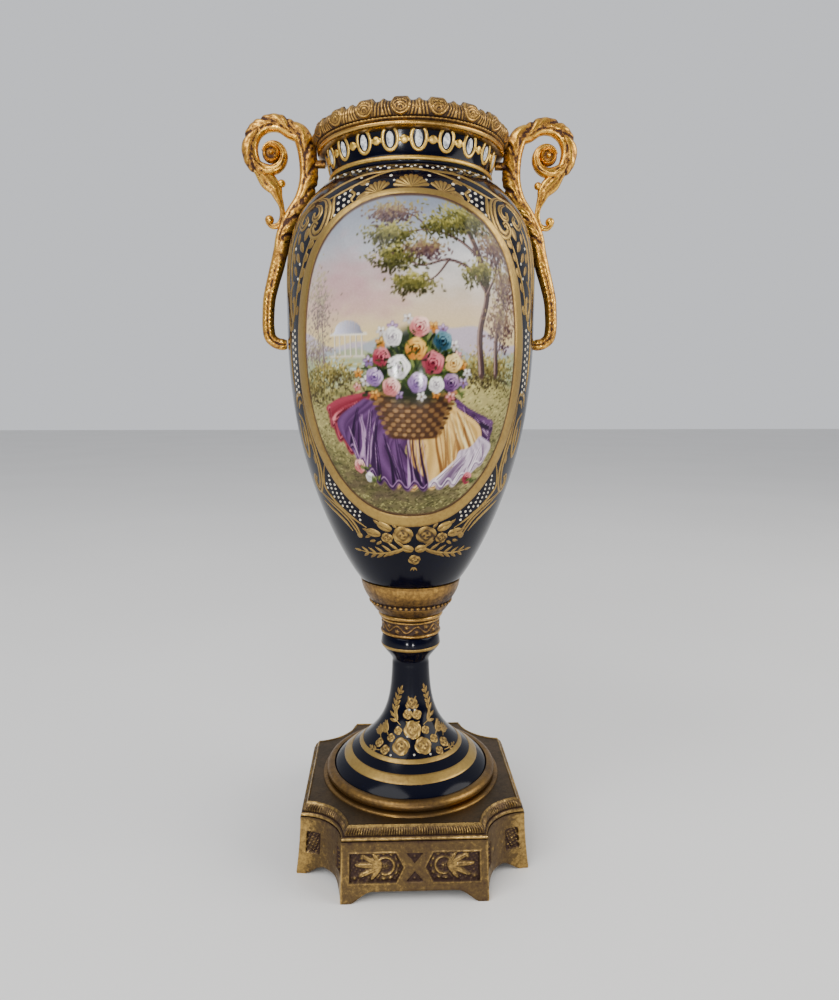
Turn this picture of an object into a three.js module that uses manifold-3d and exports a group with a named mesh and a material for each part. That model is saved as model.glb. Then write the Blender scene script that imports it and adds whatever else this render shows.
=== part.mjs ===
// A footed mantel urn in cobalt porcelain with gilt bronze mounts.
// Millimetres, +Z up. The origin is on the floor, under the middle of the plinth.
// The painted front faces -Y, and the two handles stand out along -X and +X.

import * as THREE from 'three';
import { mergeVertices } from 'three/addons/utils/BufferGeometryUtils.js';
import Module from 'manifold-3d';

const wasm = await Module();
wasm.setup();

// Fits shared by all the pieces

const FIT_GAP = 0.3;

// Plinth: a square block with four hollowed corners, on eight bracket feet

const PLINTH_TOP_HALF_WIDTH = 68;
const PLINTH_FLARE = 3.2;
const PLINTH_FLARE_POWER = 1.6;
const PLINTH_BLOCK_HEIGHT = 36.4;
const PLINTH_CORNER_RADIUS = 26;
const PLINTH_WALL = 3.6;
const PLINTH_PLATE_THICKNESS = 4;
const FILLET_HEIGHT = 2.7;
const FILLET_SETBACK = 1.2;
const LEAF_MOULDING_HEIGHT = 5.4;
const LEAF_MOULDING_SETBACK = 4;
const PLATE_SINK = 0.6;

const FOOT_TOE_WIDTH = 5.2;
const FOOT_CURVE_WIDTH = 8;
const APRON_HEIGHT = 6.8;

const PANEL_HEIGHT = 16.6;
const PANEL_LENGTH = 30;
const PANEL_BEVEL = 5;
const PANEL_DEPTH = 1.5;
const PANEL_MIDDLE_HEIGHT = 20.8;
const PANEL_MIDDLE_OFFSET = 22.4;
const ROSETTE_RADIUS = 5.4;
const CORNER_PANEL_SIZE = 12;
const CORNER_PANEL_DEPTH = 1.3;
const CORNER_PANEL_ARC = 9.5;

// Ring on the plinth that holds the porcelain foot

const SEAT_TORUS_RADIUS = 3.3;
const SEAT_WALL = 1.6;
const SEAT_STEP_WIDTH = 2.6;
const SEAT_STEP_HEIGHT = 1.2;

// Porcelain foot: a trumpet on a round base, with a knop under the collar

const FOOT_BASE_RADIUS = 49.6;
const FOOT_BASE_DROP = 5.1;
const FOOT_TRUMPET_HEIGHT = 69;
const FOOT_TRUMPET_SPREAD = 21.2;
const FOOT_TRUMPET_POWER = 1.37;
const STEM_RADIUS = 11.7;
const STEM_WALL = 4.4;
const KNOP_RADIUS = 18.8;
const KNOP_NECK_HEIGHT = 12.8;
const KNOP_TOP_HEIGHT = 6.4;
const KNOP_TOP_RADIUS = 17.6;

// Gilt bronze collar that carries the body in a bowl

const COLLAR_BAND_RADIUS = 18.4;
const COLLAR_BAND_HEIGHT = 11;
const COLLAR_RING_BULGE = 0.8;
const COLLAR_RING_HEIGHT = 2.8;
const COLLAR_RING_RADIUS = 20.4;
const COLLAR_THROAT_HEIGHT = 4.6;
const COLLAR_BEAD_RADIUS = 26.6;
const COLLAR_BEAD_HEIGHT = 4.2;
const COLLAR_BOWL_HEIGHT = 13;
const COLLAR_LIP_THICKNESS = 1.2;

// Porcelain body: an egg that swells upward to a high shoulder and a short neck

const BODY_BASE_RADIUS = 31.6;
const BELLY_RADIUS = 74;
const BELLY_HEIGHT = 151;
const LOWER_SWELL_POWER = 2.05;
const LOWER_SWELL_ROUNDNESS = 0.909;
const SHOULDER_HEIGHT = 83.4;
const SHOULDER_POWER = 4.4;
const NECK_RADIUS = 46.6;
const NECK_RING_BULGE = 0.6;
const NECK_RING_HEIGHT = 2.8;
const NECK_HEIGHT = 12;
const NECK_TOP_RADIUS = 49.5;
const BODY_WALL = 4;
const BODY_SOCKET_DEPTH = 9;
const BODY_FLOOR = 6;

// Gilt bronze rim: a plain ovolo under a band of shells with a scalloped edge

const RIM_SKIRT_DEPTH = 7;
const RIM_SKIRT_THICKNESS = 1.6;
const RIM_OVOLO_HEIGHT = 3.4;
const RIM_OVOLO_PROJECTION = 4.8;
const RIM_BAND_RADIUS = 56;
const RIM_BAND_HEIGHT = 11.3;
const RIM_SHELL_COUNT = 18;
const RIM_SHELL_BULGE = 1.1;
const RIM_SCALLOP = 0.9;
const RIM_WALL = 2.6;
const RIM_LEDGE_DROP = 7;

// Handles: an S-shaped bar that loops over into a volute, with a pendant leaf

const HOOK_RISE = 143.5;
const HOOK_WIDTH = 6.3;
const SHOULDER_BAR_DROP = 27.4;
const LEAF_TIP_DROP = 21.4;
const LEAF_TIP_OFFSET = 10.8;
const LOOP_OUT = 23.2;
const LOOP_RISE = 5.7;
const LOOP_RADIUS = 15.4;
const BAR_WIDTH = 9.6;
const BAR_DEPTH = 8.6;
const LOWER_BAR_WIDTH = 5.6;
const LOWER_BAR_DEPTH = 6.6;
const VOLUTE_TURN = 268;
const VOLUTE_OUTER_START = 12.6;
const VOLUTE_OUTER_END = 6.1;
const VOLUTE_DEPTH = 8;
const VOLUTE_WEB_DEPTH = 5.6;
const VOLUTE_EYE_RADIUS = 3.6;
const LEAF_DEPTH = 5;
const CURL_BALL_RADIUS = 2.7;
const LUG_RADIUS = 2.3;

// Facets

const BODY_SIDES = 32;
const FOOT_SIDES = 28;
const SHELL_SIDES = 3;
const CORNER_SIDES = 6;
const BAR_SIDES = 8;
const TWIG_SIDES = 6;
const MERGE_TOLERANCE = 1e-4;

// Finishes

const giltBronze = new THREE.MeshStandardMaterial({ color: 0x8f6f36, roughness: 0.38, metalness: 0.95 });
const brightGilt = new THREE.MeshStandardMaterial({ color: 0xc79a4a, roughness: 0.33, metalness: 0.95 });
const cobaltGlaze = new THREE.MeshStandardMaterial({ color: 0x0a0d24, roughness: 0.08, metalness: 0 });

// Heights at which the pieces are stacked

const plinthMouldingTop = PLINTH_BLOCK_HEIGHT + FILLET_HEIGHT + LEAF_MOULDING_HEIGHT;
const plateTop = plinthMouldingTop - PLATE_SINK;
const footSeat = plateTop + SEAT_STEP_HEIGHT;
const footBottom = footSeat + FIT_GAP;
const footHeight = FOOT_BASE_DROP + FOOT_TRUMPET_HEIGHT + KNOP_NECK_HEIGHT + KNOP_TOP_HEIGHT;
const collarBottom = footBottom + footHeight + FIT_GAP;
const collarBeads = COLLAR_BAND_HEIGHT + COLLAR_RING_HEIGHT + COLLAR_THROAT_HEIGHT;
const collarHeight = collarBeads + COLLAR_BEAD_HEIGHT + COLLAR_BOWL_HEIGHT;
const bodyBottom = collarBottom + collarHeight + FIT_GAP;
const neckBottom = BELLY_HEIGHT + SHOULDER_HEIGHT;
const neckTop = neckBottom + NECK_RING_HEIGHT + NECK_HEIGHT;
const rimBottom = bodyBottom + neckTop + FIT_GAP;
const rimHeight = RIM_OVOLO_HEIGHT + RIM_BAND_HEIGHT;

// Numbers

function mix(from, to, share) {
  return from + (to - from) * share;
}

function smooth(share) {
  return share * share * (3 - 2 * share);
}

function steps(count) {
  return Array.from({ length: count + 1 }, (_, index) => index / count);
}

// Closed meshes, turned into solids that can be joined and cut

function trianglesOf(geometry) {
  const bare = geometry.index ? geometry.toNonIndexed() : geometry.clone();
  bare.deleteAttribute('normal');
  bare.deleteAttribute('uv');
  const merged = mergeVertices(bare, MERGE_TOLERANCE);
  const position = merged.attributes.position;
  const faces = [];
  for (let first = 0; first < merged.index.count; first += 3) {
    const face = [0, 1, 2].map((corner) => merged.index.getX(first + corner));
    if (new Set(face).size === 3) {
      faces.push(face);
    }
  }
  return { position, faces };
}

function signedVolume(position, faces) {
  const corners = [new THREE.Vector3(), new THREE.Vector3(), new THREE.Vector3()];
  let total = 0;
  for (const face of faces) {
    corners.forEach((corner, index) => corner.fromBufferAttribute(position, face[index]));
    total += corners[0].dot(corners[1].clone().cross(corners[2]));
  }
  return total / 6;
}

function solid(geometry) {
  const { position, faces } = trianglesOf(geometry);
  const inward = signedVolume(position, faces) < 0;
  const outwardFaces = inward ? faces.map(([a, b, c]) => [a, c, b]) : faces;
  return new wasm.Manifold(new wasm.Mesh({
    numProp: 3,
    vertProperties: new Float32Array(position.array),
    triVerts: new Uint32Array(outwardFaces.flat()),
  }));
}

function joined(solids) {
  return solids.reduce((whole, next) => whole.add(next));
}

function namedMesh(name, manifold, material) {
  const { vertProperties, triVerts } = manifold.getMesh();
  const geometry = new THREE.BufferGeometry();
  geometry.setAttribute('position', new THREE.BufferAttribute(vertProperties, 3));
  geometry.setIndex(new THREE.BufferAttribute(triVerts, 1));
  geometry.computeVertexNormals();
  const mesh = new THREE.Mesh(geometry, material);
  mesh.name = name;
  return mesh;
}

// A skin over rings of equal length, closed by a cap at each end or on itself

function lofted(rings, isLoop = false) {
  const size = rings[0].length;
  const points = rings.flat();
  const faces = [];
  const spans = isLoop ? rings.length : rings.length - 1;
  for (let ring = 0; ring < spans; ring += 1) {
    const here = ring * size;
    const there = ((ring + 1) % rings.length) * size;
    for (let side = 0; side < size; side += 1) {
      const next = (side + 1) % size;
      faces.push([here + side, here + next, there + next]);
      faces.push([here + side, there + next, there + side]);
    }
  }
  if (!isLoop) {
    const ends = [[0, false], [(rings.length - 1) * size, true]];
    for (const [start, isLast] of ends) {
      const ring = points.slice(start, start + size);
      const middle = ring.reduce((sum, point) => sum.add(point), new THREE.Vector3()).divideScalar(size);
      const centre = points.push(middle) - 1;
      for (let side = 0; side < size; side += 1) {
        const edge = [start + side, start + ((side + 1) % size)];
        faces.push(isLast ? [centre, ...edge] : [centre, edge[1], edge[0]]);
      }
    }
  }
  const geometry = new THREE.BufferGeometry().setFromPoints(points);
  geometry.setIndex(faces.flat());
  return solid(geometry);
}

// A turned piece from a profile of [radius, height] pairs

function turned(profile, sides) {
  const outline = profile.map(([radius, height]) => new THREE.Vector2(radius, height));
  return solid(new THREE.LatheGeometry(outline, sides).rotateX(Math.PI / 2));
}

// Plinth plan: four straight sides joined by arcs hollowed into the corners

function plinthPlan(halfWidth, cornerCentre, cornerRadius, height) {
  const reach = Math.sqrt(cornerRadius ** 2 - (cornerCentre - halfWidth) ** 2);
  const startAngle = Math.asin((cornerCentre - halfWidth) / cornerRadius);
  const ring = [];
  for (let quarter = 0; quarter < 4; quarter += 1) {
    const turn = quarter * Math.PI / 2;
    for (const share of steps(CORNER_SIDES)) {
      const angle = mix(startAngle, Math.PI / 2 - startAngle, share);
      const x = cornerCentre - cornerRadius * Math.cos(angle);
      const y = -cornerCentre + cornerRadius * Math.sin(angle);
      const isEnd = share === 0;
      const corner = isEnd ? new THREE.Vector3(cornerCentre - reach, -halfWidth, height)
        : new THREE.Vector3(x, y, height);
      ring.push(corner.applyAxisAngle(new THREE.Vector3(0, 0, 1), turn));
    }
  }
  return ring;
}

function flareAt(height) {
  return PLINTH_FLARE * (1 - Math.min(height / PLINTH_BLOCK_HEIGHT, 1)) ** PLINTH_FLARE_POWER;
}

function blockPlan(height, inset, level = height) {
  const flare = flareAt(height);
  const centre = PLINTH_TOP_HALF_WIDTH + flare;
  const radius = PLINTH_CORNER_RADIUS + flare * 0.7;
  return plinthPlan(centre - inset, centre, radius + inset, level);
}

function plinthShell() {
  const blockLevels = steps(3).map((share) => share * PLINTH_BLOCK_HEIGHT);
  const fillet = PLINTH_BLOCK_HEIGHT;
  const leaf = fillet + FILLET_HEIGHT;
  const mouldingLevels = [
    [fillet, FILLET_SETBACK * 0.6],
    [fillet + FILLET_HEIGHT * 0.5, FILLET_SETBACK * 0.3],
    [leaf, FILLET_SETBACK],
    [leaf, FILLET_SETBACK + 1],
    [leaf + LEAF_MOULDING_HEIGHT * 0.45, FILLET_SETBACK + 1.1],
    [leaf + LEAF_MOULDING_HEIGHT * 0.85, LEAF_MOULDING_SETBACK - 0.9],
    [plinthMouldingTop, LEAF_MOULDING_SETBACK],
    [plateTop, LEAF_MOULDING_SETBACK + PLATE_SINK],
  ];
  const outside = lofted([
    ...blockLevels.map((height) => blockPlan(height, 0)),
    ...mouldingLevels.map(([height, inset]) => blockPlan(PLINTH_BLOCK_HEIGHT, inset, height)),
  ]);
  const ceiling = plateTop - PLINTH_PLATE_THICKNESS;
  const mouldingWall = PLINTH_WALL + LEAF_MOULDING_SETBACK;
  const hollow = lofted([
    blockPlan(0, PLINTH_WALL, -1),
    ...blockLevels.slice(1, -1).map((height) => blockPlan(height, PLINTH_WALL)),
    blockPlan(PLINTH_BLOCK_HEIGHT - PLINTH_WALL, PLINTH_WALL),
    blockPlan(PLINTH_BLOCK_HEIGHT, mouldingWall, ceiling),
  ]);
  return outside.subtract(hollow);
}

// Lower edge of the apron: level between two ogee curves that fall to the feet

function apronLine(length) {
  const toe = FOOT_TOE_WIDTH;
  const rise = steps(5).map((share) => [toe + FOOT_CURVE_WIDTH * share, APRON_HEIGHT * smooth(share)]);
  const fall = rise.map(([along, height]) => [length - along, height]).reverse();
  return [...rise, ...fall];
}

function sideApronCutter() {
  const plan = blockPlan(0, 0);
  const halfLength = plan[0].x;
  const line = apronLine(2 * halfLength).map(([along, height]) => [along - halfLength, height]);
  const outline = [[line[0][0], -1], ...line, [line[line.length - 1][0], -1]];
  const shape = new THREE.Shape(outline.map(([x, y]) => new THREE.Vector2(x, y)));
  const length = 4 * PLINTH_TOP_HALF_WIDTH;
  const geometry = new THREE.ExtrudeGeometry(shape, { depth: length, bevelEnabled: false });
  return solid(geometry.translate(0, 0, -length / 2).rotateX(Math.PI / 2));
}

function cornerApronCutter() {
  const centre = PLINTH_TOP_HALF_WIDTH + PLINTH_FLARE;
  const radius = PLINTH_CORNER_RADIUS + PLINTH_FLARE * 0.7;
  const near = radius - 2 * PLINTH_FLARE;
  const far = radius + PLINTH_WALL + 1.5;
  const line = apronLine(radius * Math.PI / 2);
  const rings = line.map(([along, height]) => {
    const angle = along / radius;
    const at = (distance, level) => new THREE.Vector3(
      centre - distance * Math.cos(angle), -centre + distance * Math.sin(angle), level,
    );
    return [at(near, -1), at(far, -1), at(far, height + 0.02), at(near, height + 0.02)];
  });
  return lofted(rings);
}

// Relief on the plinth: sunk panels with a rosette and a fan of leaves

function sidePanelCutter() {
  const half = PANEL_HEIGHT / 2;
  const end = PANEL_LENGTH / 2;
  const outline = [
    [-end, -half], [end - PANEL_BEVEL, -half], [end, -half + PANEL_BEVEL],
    [end, half - PANEL_BEVEL], [end - PANEL_BEVEL, half], [-end, half],
  ];
  const shape = new THREE.Shape(outline.map(([x, y]) => new THREE.Vector2(x, y)));
  const geometry = new THREE.ExtrudeGeometry(shape, { depth: 10, bevelEnabled: false });
  return solid(geometry.translate(0, 0, -PANEL_DEPTH));
}

function reliefLeaf(x, y, length, width, height, turn) {
  const ridged = new THREE.SphereGeometry(1, 4, 2).rotateX(Math.PI / 2);
  return solid(ridged.scale(length, width, height).rotateZ(turn).translate(x, y, -PANEL_DEPTH));
}

function sidePanelRelief() {
  const inner = PANEL_LENGTH / 2 - ROSETTE_RADIUS - 2.2;
  const rosette = new THREE.CylinderGeometry(ROSETTE_RADIUS * 0.75, ROSETTE_RADIUS, 1.8, 6).rotateX(Math.PI / 2);
  const fan = [-1, 0, 1].map((side) => reliefLeaf(
    inner - ROSETTE_RADIUS - 5.2, side * 4.4, 6.6, 2.1, 1.4, -side * 0.45,
  ));
  return [solid(rosette.translate(inner, 0, -PANEL_DEPTH)), ...fan];
}

function strapCutter() {
  const half = PANEL_HEIGHT / 2;
  const shape = new THREE.Shape([[-4, half], [4, half], [0, half - 5]].map(([x, y]) => new THREE.Vector2(x, y)));
  const geometry = new THREE.ExtrudeGeometry(shape, { depth: 10, bevelEnabled: false });
  return solid(geometry.translate(0, 0, -PANEL_DEPTH * 0.7));
}

function onPlinthSide(piece, along, quarter) {
  const slope = Math.atan2(flareAt(PANEL_MIDDLE_HEIGHT - 8) - flareAt(PANEL_MIDDLE_HEIGHT + 8), 16);
  const out = PLINTH_TOP_HALF_WIDTH + flareAt(PANEL_MIDDLE_HEIGHT);
  return piece
    .rotate([90 - THREE.MathUtils.radToDeg(slope), 0, 0])
    .translate([along, -out, PANEL_MIDDLE_HEIGHT])
    .rotate([0, 0, quarter * 90]);
}

function cornerPanelCutter() {
  const size = CORNER_PANEL_SIZE;
  return solid(new THREE.BoxGeometry(8 + CORNER_PANEL_DEPTH, size * 0.72, size)
    .translate((CORNER_PANEL_DEPTH - 8) / 2, 0, 0));
}

function cornerPanelRelief() {
  const boss = new THREE.CylinderGeometry(CORNER_PANEL_SIZE * 0.2, CORNER_PANEL_SIZE * 0.32, 1.8, 6);
  return solid(boss.rotateZ(Math.PI / 2).translate(CORNER_PANEL_DEPTH - 0.4, 0, 0));
}

function onPlinthCorner(piece, isSecond, quarter) {
  const centre = PLINTH_TOP_HALF_WIDTH + flareAt(PANEL_MIDDLE_HEIGHT);
  const radius = PLINTH_CORNER_RADIUS + flareAt(PANEL_MIDDLE_HEIGHT) * 0.7;
  const angle = THREE.MathUtils.radToDeg(CORNER_PANEL_ARC / radius);
  return piece
    .translate([radius, 0, 0])
    .rotate([0, 0, isSecond ? 90 + angle : 180 - angle])
    .translate([centre, -centre, PANEL_MIDDLE_HEIGHT])
    .rotate([0, 0, quarter * 90]);
}

function seatRing() {
  const inner = FOOT_BASE_RADIUS + FIT_GAP;
  const middle = inner + SEAT_WALL;
  const top = footSeat + FOOT_BASE_DROP + SEAT_STEP_HEIGHT;
  const torusHeight = top - SEAT_TORUS_RADIUS;
  const torus = steps(4).map((share) => {
    const angle = mix(Math.PI / 2, -Math.PI / 3, share);
    return [middle + SEAT_TORUS_RADIUS * Math.cos(angle), torusHeight + SEAT_TORUS_RADIUS * Math.sin(angle)];
  });
  const stepRadius = middle + SEAT_TORUS_RADIUS + SEAT_STEP_WIDTH;
  return turned([
    [0, plateTop - PLINTH_PLATE_THICKNESS / 2],
    [stepRadius, plateTop - PLINTH_PLATE_THICKNESS / 2],
    [stepRadius - 0.6, plateTop + SEAT_STEP_HEIGHT],
    [middle + SEAT_TORUS_RADIUS * 0.5, plateTop + SEAT_STEP_HEIGHT],
    ...torus.reverse(),
    [inner, top - 0.2],
    [inner, footSeat],
    [0, footSeat],
  ], BODY_SIDES);
}

function plinth() {
  const cutters = [];
  const reliefs = [];
  const triangle = strapCutter();
  for (let quarter = 0; quarter < 4; quarter += 1) {
    cutters.push(cornerApronCutter().rotate([0, 0, quarter * 90]));
    cutters.push(onPlinthSide(triangle, 0, quarter));
    cutters.push(onPlinthSide(triangle.rotate([0, 0, 180]), 0, quarter));
    for (const isSecond of [false, true]) {
      const turn = isSecond ? 180 : 0;
      const along = isSecond ? PANEL_MIDDLE_OFFSET : -PANEL_MIDDLE_OFFSET;
      cutters.push(onPlinthSide(sidePanelCutter().rotate([0, 0, turn]), along, quarter));
      cutters.push(onPlinthCorner(cornerPanelCutter(), isSecond, quarter));
      reliefs.push(...sidePanelRelief().map((piece) => onPlinthSide(piece.rotate([0, 0, turn]), along, quarter)));
      reliefs.push(onPlinthCorner(cornerPanelRelief(), isSecond, quarter));
    }
  }
  const aprons = [sideApronCutter(), sideApronCutter().rotate([0, 0, 90])];
  const carved = plinthShell().subtract(joined([...aprons, ...cutters]));
  return carved.add(seatRing()).add(joined(reliefs));
}

// Porcelain foot

function trumpetRadius(height) {
  const reach = (height / FOOT_TRUMPET_SPREAD) ** FOOT_TRUMPET_POWER;
  return STEM_RADIUS + (FOOT_BASE_RADIUS - STEM_RADIUS) * Math.exp(-reach);
}

function porcelainFoot() {
  const trumpetTop = FOOT_BASE_DROP + FOOT_TRUMPET_HEIGHT;
  const trumpet = steps(9).map((share) => {
    const height = FOOT_TRUMPET_HEIGHT * share ** 1.15;
    return [trumpetRadius(height), FOOT_BASE_DROP + height];
  });
  const knopSwell = steps(4).slice(1).map((share) => [
    mix(STEM_RADIUS, KNOP_RADIUS, smooth(share)), trumpetTop + KNOP_NECK_HEIGHT * share,
  ]);
  const knopTop = trumpetTop + KNOP_NECK_HEIGHT + KNOP_TOP_HEIGHT;
  const bore = steps(4).map((share) => {
    const height = FOOT_TRUMPET_HEIGHT * (1 - share) ** 1.3;
    return [trumpetRadius(height + STEM_WALL) - STEM_WALL, FOOT_BASE_DROP + height - STEM_WALL * share];
  });
  return turned([
    [0, trumpetTop + STEM_WALL],
    [STEM_RADIUS - STEM_WALL, trumpetTop],
    ...bore.slice(1, -1),
    [FOOT_BASE_RADIUS - STEM_WALL, 0],
    [FOOT_BASE_RADIUS, 0],
    ...trumpet,
    ...knopSwell,
    [mix(KNOP_RADIUS, KNOP_TOP_RADIUS, 0.2), knopTop - KNOP_TOP_HEIGHT * 0.4],
    [KNOP_TOP_RADIUS, knopTop],
    [0, knopTop],
  ], FOOT_SIDES);
}

// Collar

function collar() {
  const ring = COLLAR_BAND_RADIUS + COLLAR_RING_BULGE;
  const throat = COLLAR_BAND_HEIGHT + COLLAR_RING_HEIGHT;
  const bowl = collarBeads + COLLAR_BEAD_HEIGHT;
  const lip = BODY_BASE_RADIUS - FIT_GAP;
  const socket = lip - COLLAR_LIP_THICKNESS;
  const bowlCurve = steps(3).map((share) => [
    mix(COLLAR_BEAD_RADIUS + 0.6, lip, 1 - (1 - share) ** 1.8), bowl + COLLAR_BOWL_HEIGHT * share,
  ]);
  return turned([
    [0, 0],
    [ring, 0],
    [ring, 1.6],
    [COLLAR_BAND_RADIUS, 2.4],
    [COLLAR_BAND_RADIUS, COLLAR_BAND_HEIGHT - 3.2],
    [ring, COLLAR_BAND_HEIGHT - 2.2],
    [COLLAR_BAND_RADIUS, COLLAR_BAND_HEIGHT - 0.6],
    [COLLAR_RING_RADIUS - 0.4, COLLAR_BAND_HEIGHT],
    [COLLAR_RING_RADIUS, throat - 0.6],
    [COLLAR_RING_RADIUS + 0.4, throat],
    [mix(COLLAR_RING_RADIUS, COLLAR_BEAD_RADIUS, 0.6), throat + COLLAR_THROAT_HEIGHT * 0.45],
    [COLLAR_BEAD_RADIUS - 0.7, collarBeads],
    [COLLAR_BEAD_RADIUS + 0.5, collarBeads + COLLAR_BEAD_HEIGHT * 0.4],
    ...bowlCurve,
    [socket, collarHeight],
    [socket - 1.2, collarHeight - BODY_SOCKET_DEPTH * 0.6],
    [socket * 0.62, collarHeight - BODY_SOCKET_DEPTH],
    [0, collarHeight - BODY_SOCKET_DEPTH],
  ], FOOT_SIDES);
}

// Porcelain body

function bodyRadius(height) {
  if (height <= BELLY_HEIGHT) {
    const rise = 1 - (1 - height / BELLY_HEIGHT) ** LOWER_SWELL_POWER;
    return mix(BODY_BASE_RADIUS, BELLY_RADIUS, rise ** LOWER_SWELL_ROUNDNESS);
  }
  const fall = Math.min((height - BELLY_HEIGHT) / SHOULDER_HEIGHT, 1);
  return mix(BELLY_RADIUS, NECK_RADIUS, fall ** SHOULDER_POWER);
}

function neckRadius(share) {
  return mix(NECK_RADIUS, NECK_TOP_RADIUS, share ** 1.3);
}

function bodySkin() {
  const lower = steps(8).map((share) => {
    const height = BELLY_HEIGHT * share ** 1.25;
    return [bodyRadius(height), height];
  });
  const shoulder = steps(7).slice(1).map((share) => {
    const height = BELLY_HEIGHT + SHOULDER_HEIGHT * (1 - (1 - share) ** 1.9);
    return [bodyRadius(height), height];
  });
  const ring = NECK_RADIUS + NECK_RING_BULGE;
  const neck = steps(2).map((share) => [
    neckRadius(share), neckBottom + NECK_RING_HEIGHT + NECK_HEIGHT * share,
  ]);
  return [
    ...lower,
    ...shoulder,
    [ring, neckBottom + NECK_RING_HEIGHT * 0.3],
    [ring, neckBottom + NECK_RING_HEIGHT * 0.7],
    ...neck,
  ];
}

// Inner face of the wall, a wall's thickness inside the skin along its normal

function insideSkin(height) {
  const slope = bodyRadius(height + 0.5) - bodyRadius(height - 0.5);
  const inward = BODY_WALL / Math.hypot(1, slope);
  return [bodyRadius(height) - inward, height + slope * inward];
}

function vaseBody() {
  const socket = BODY_BASE_RADIUS - FIT_GAP - COLLAR_LIP_THICKNESS;
  const foot = socket - 2 * FIT_GAP;
  const hollowBottom = BODY_FLOOR - BODY_SOCKET_DEPTH;
  const insideShoulder = steps(4).slice(1).reverse().map((share) => (
    insideSkin(BELLY_HEIGHT + (SHOULDER_HEIGHT - 1) * (1 - (1 - share) ** 1.9))
  ));
  const insideBelly = steps(5).reverse().map((share) => insideSkin(mix(1, BELLY_HEIGHT, share ** 1.25)));
  return turned([
    [0, FIT_GAP - BODY_SOCKET_DEPTH],
    [foot * 0.6, FIT_GAP - BODY_SOCKET_DEPTH],
    [foot - 1.2, FIT_GAP - BODY_SOCKET_DEPTH * 0.6],
    [foot, 0],
    ...bodySkin(),
    [NECK_TOP_RADIUS - BODY_WALL, neckTop],
    [NECK_RADIUS - BODY_WALL, neckBottom + NECK_RING_HEIGHT],
    [NECK_RADIUS - BODY_WALL, neckBottom],
    ...insideShoulder,
    ...insideBelly,
    [BODY_BASE_RADIUS * 0.45, hollowBottom],
    [0, hollowBottom],
  ], BODY_SIDES);
}

// Rim

function rimProfile(swell) {
  const bottom = NECK_TOP_RADIUS;
  const band = RIM_OVOLO_HEIGHT;
  const groove = bottom + RIM_OVOLO_PROJECTION - 0.8;
  const bulge = RIM_SHELL_BULGE * swell;
  const skirt = NECK_RADIUS - BODY_WALL + 0.6;
  const top = rimHeight + RIM_SCALLOP * (swell - 1);
  const ledge = rimHeight - RIM_LEDGE_DROP;
  return [
    [skirt, 0],
    [bottom - 0.2, 0],
    [bottom + RIM_OVOLO_PROJECTION * 0.65, RIM_OVOLO_HEIGHT * 0.35],
    [bottom + RIM_OVOLO_PROJECTION, RIM_OVOLO_HEIGHT * 0.9],
    [groove, band + 0.3],
    [groove, band + 0.9],
    [RIM_BAND_RADIUS - 0.8 + bulge * 0.6, band + 1.5],
    [RIM_BAND_RADIUS + bulge, band + RIM_BAND_HEIGHT * 0.4],
    [RIM_BAND_RADIUS - 0.3 + bulge, band + RIM_BAND_HEIGHT * 0.68],
    [RIM_BAND_RADIUS - 1.8 + bulge * 0.4, top],
    [RIM_BAND_RADIUS - 1.8 - RIM_WALL * 0.7, top],
    [RIM_BAND_RADIUS - 1.8 - RIM_WALL, ledge],
    [skirt - RIM_SKIRT_THICKNESS, ledge],
    [skirt - RIM_SKIRT_THICKNESS, -RIM_SKIRT_DEPTH],
    [skirt, -RIM_SKIRT_DEPTH],
  ];
}

function rimMount() {
  const count = RIM_SHELL_COUNT * SHELL_SIDES;
  const rings = steps(count).slice(0, -1).map((share) => {
    const angle = share * 2 * Math.PI;
    const swell = Math.abs(Math.cos(angle * RIM_SHELL_COUNT / 2));
    return rimProfile(swell).map(([radius, height]) => new THREE.Vector3(
      radius * Math.cos(angle), radius * Math.sin(angle), height,
    ));
  });
  return lofted(rings, true);
}

// Handles, drawn in the XZ plane with x measured outward from the urn's axis

function sweptBar(stations, sides, stepCount) {
  const line = new THREE.CatmullRomCurve3(stations.map(([x, z]) => new THREE.Vector3(x, 0, z)));
  const section = new THREE.CatmullRomCurve3(stations.map(([, , w, d]) => new THREE.Vector3(w, d, 0)));
  const across = new THREE.Vector3(0, 1, 0);
  const rings = steps(stepCount).map((share) => {
    const centre = line.getPoint(share);
    const size = section.getPoint(share);
    const normal = line.getTangent(share).cross(across);
    return steps(sides).slice(1).map((turn) => {
      const angle = turn * 2 * Math.PI;
      return centre.clone()
        .addScaledVector(normal, size.x / 2 * Math.cos(angle))
        .addScaledVector(across, size.y / 2 * Math.sin(angle));
    });
  });
  return lofted(rings);
}

function loopPoint(degrees, width, depth) {
  const angle = THREE.MathUtils.degToRad(degrees);
  const centre = RIM_BAND_RADIUS + LOOP_OUT;
  return [
    centre + LOOP_RADIUS * Math.cos(angle), rimBottom + LOOP_RISE + LOOP_RADIUS * Math.sin(angle), width, depth,
  ];
}

const voluteEye = [RIM_BAND_RADIUS + LOOP_OUT + 1.7, rimBottom + LOOP_RISE - 3];

function voluteStations() {
  const startAngle = -78;
  return steps(9).map((share) => {
    const outer = mix(VOLUTE_OUTER_END, VOLUTE_OUTER_START, (1 - share) ** 1.4);
    const width = mix(6.6, 2.2, share);
    const angle = THREE.MathUtils.degToRad(startAngle - VOLUTE_TURN * share);
    const reach = outer - width / 2;
    return [
      voluteEye[0] + reach * Math.cos(angle), voluteEye[1] + reach * Math.sin(angle),
      width, mix(VOLUTE_DEPTH, VOLUTE_DEPTH * 0.8, share),
    ];
  });
}

function besideShoulder(height, offset) {
  return bodyRadius(height - bodyBottom) + offset;
}

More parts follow.
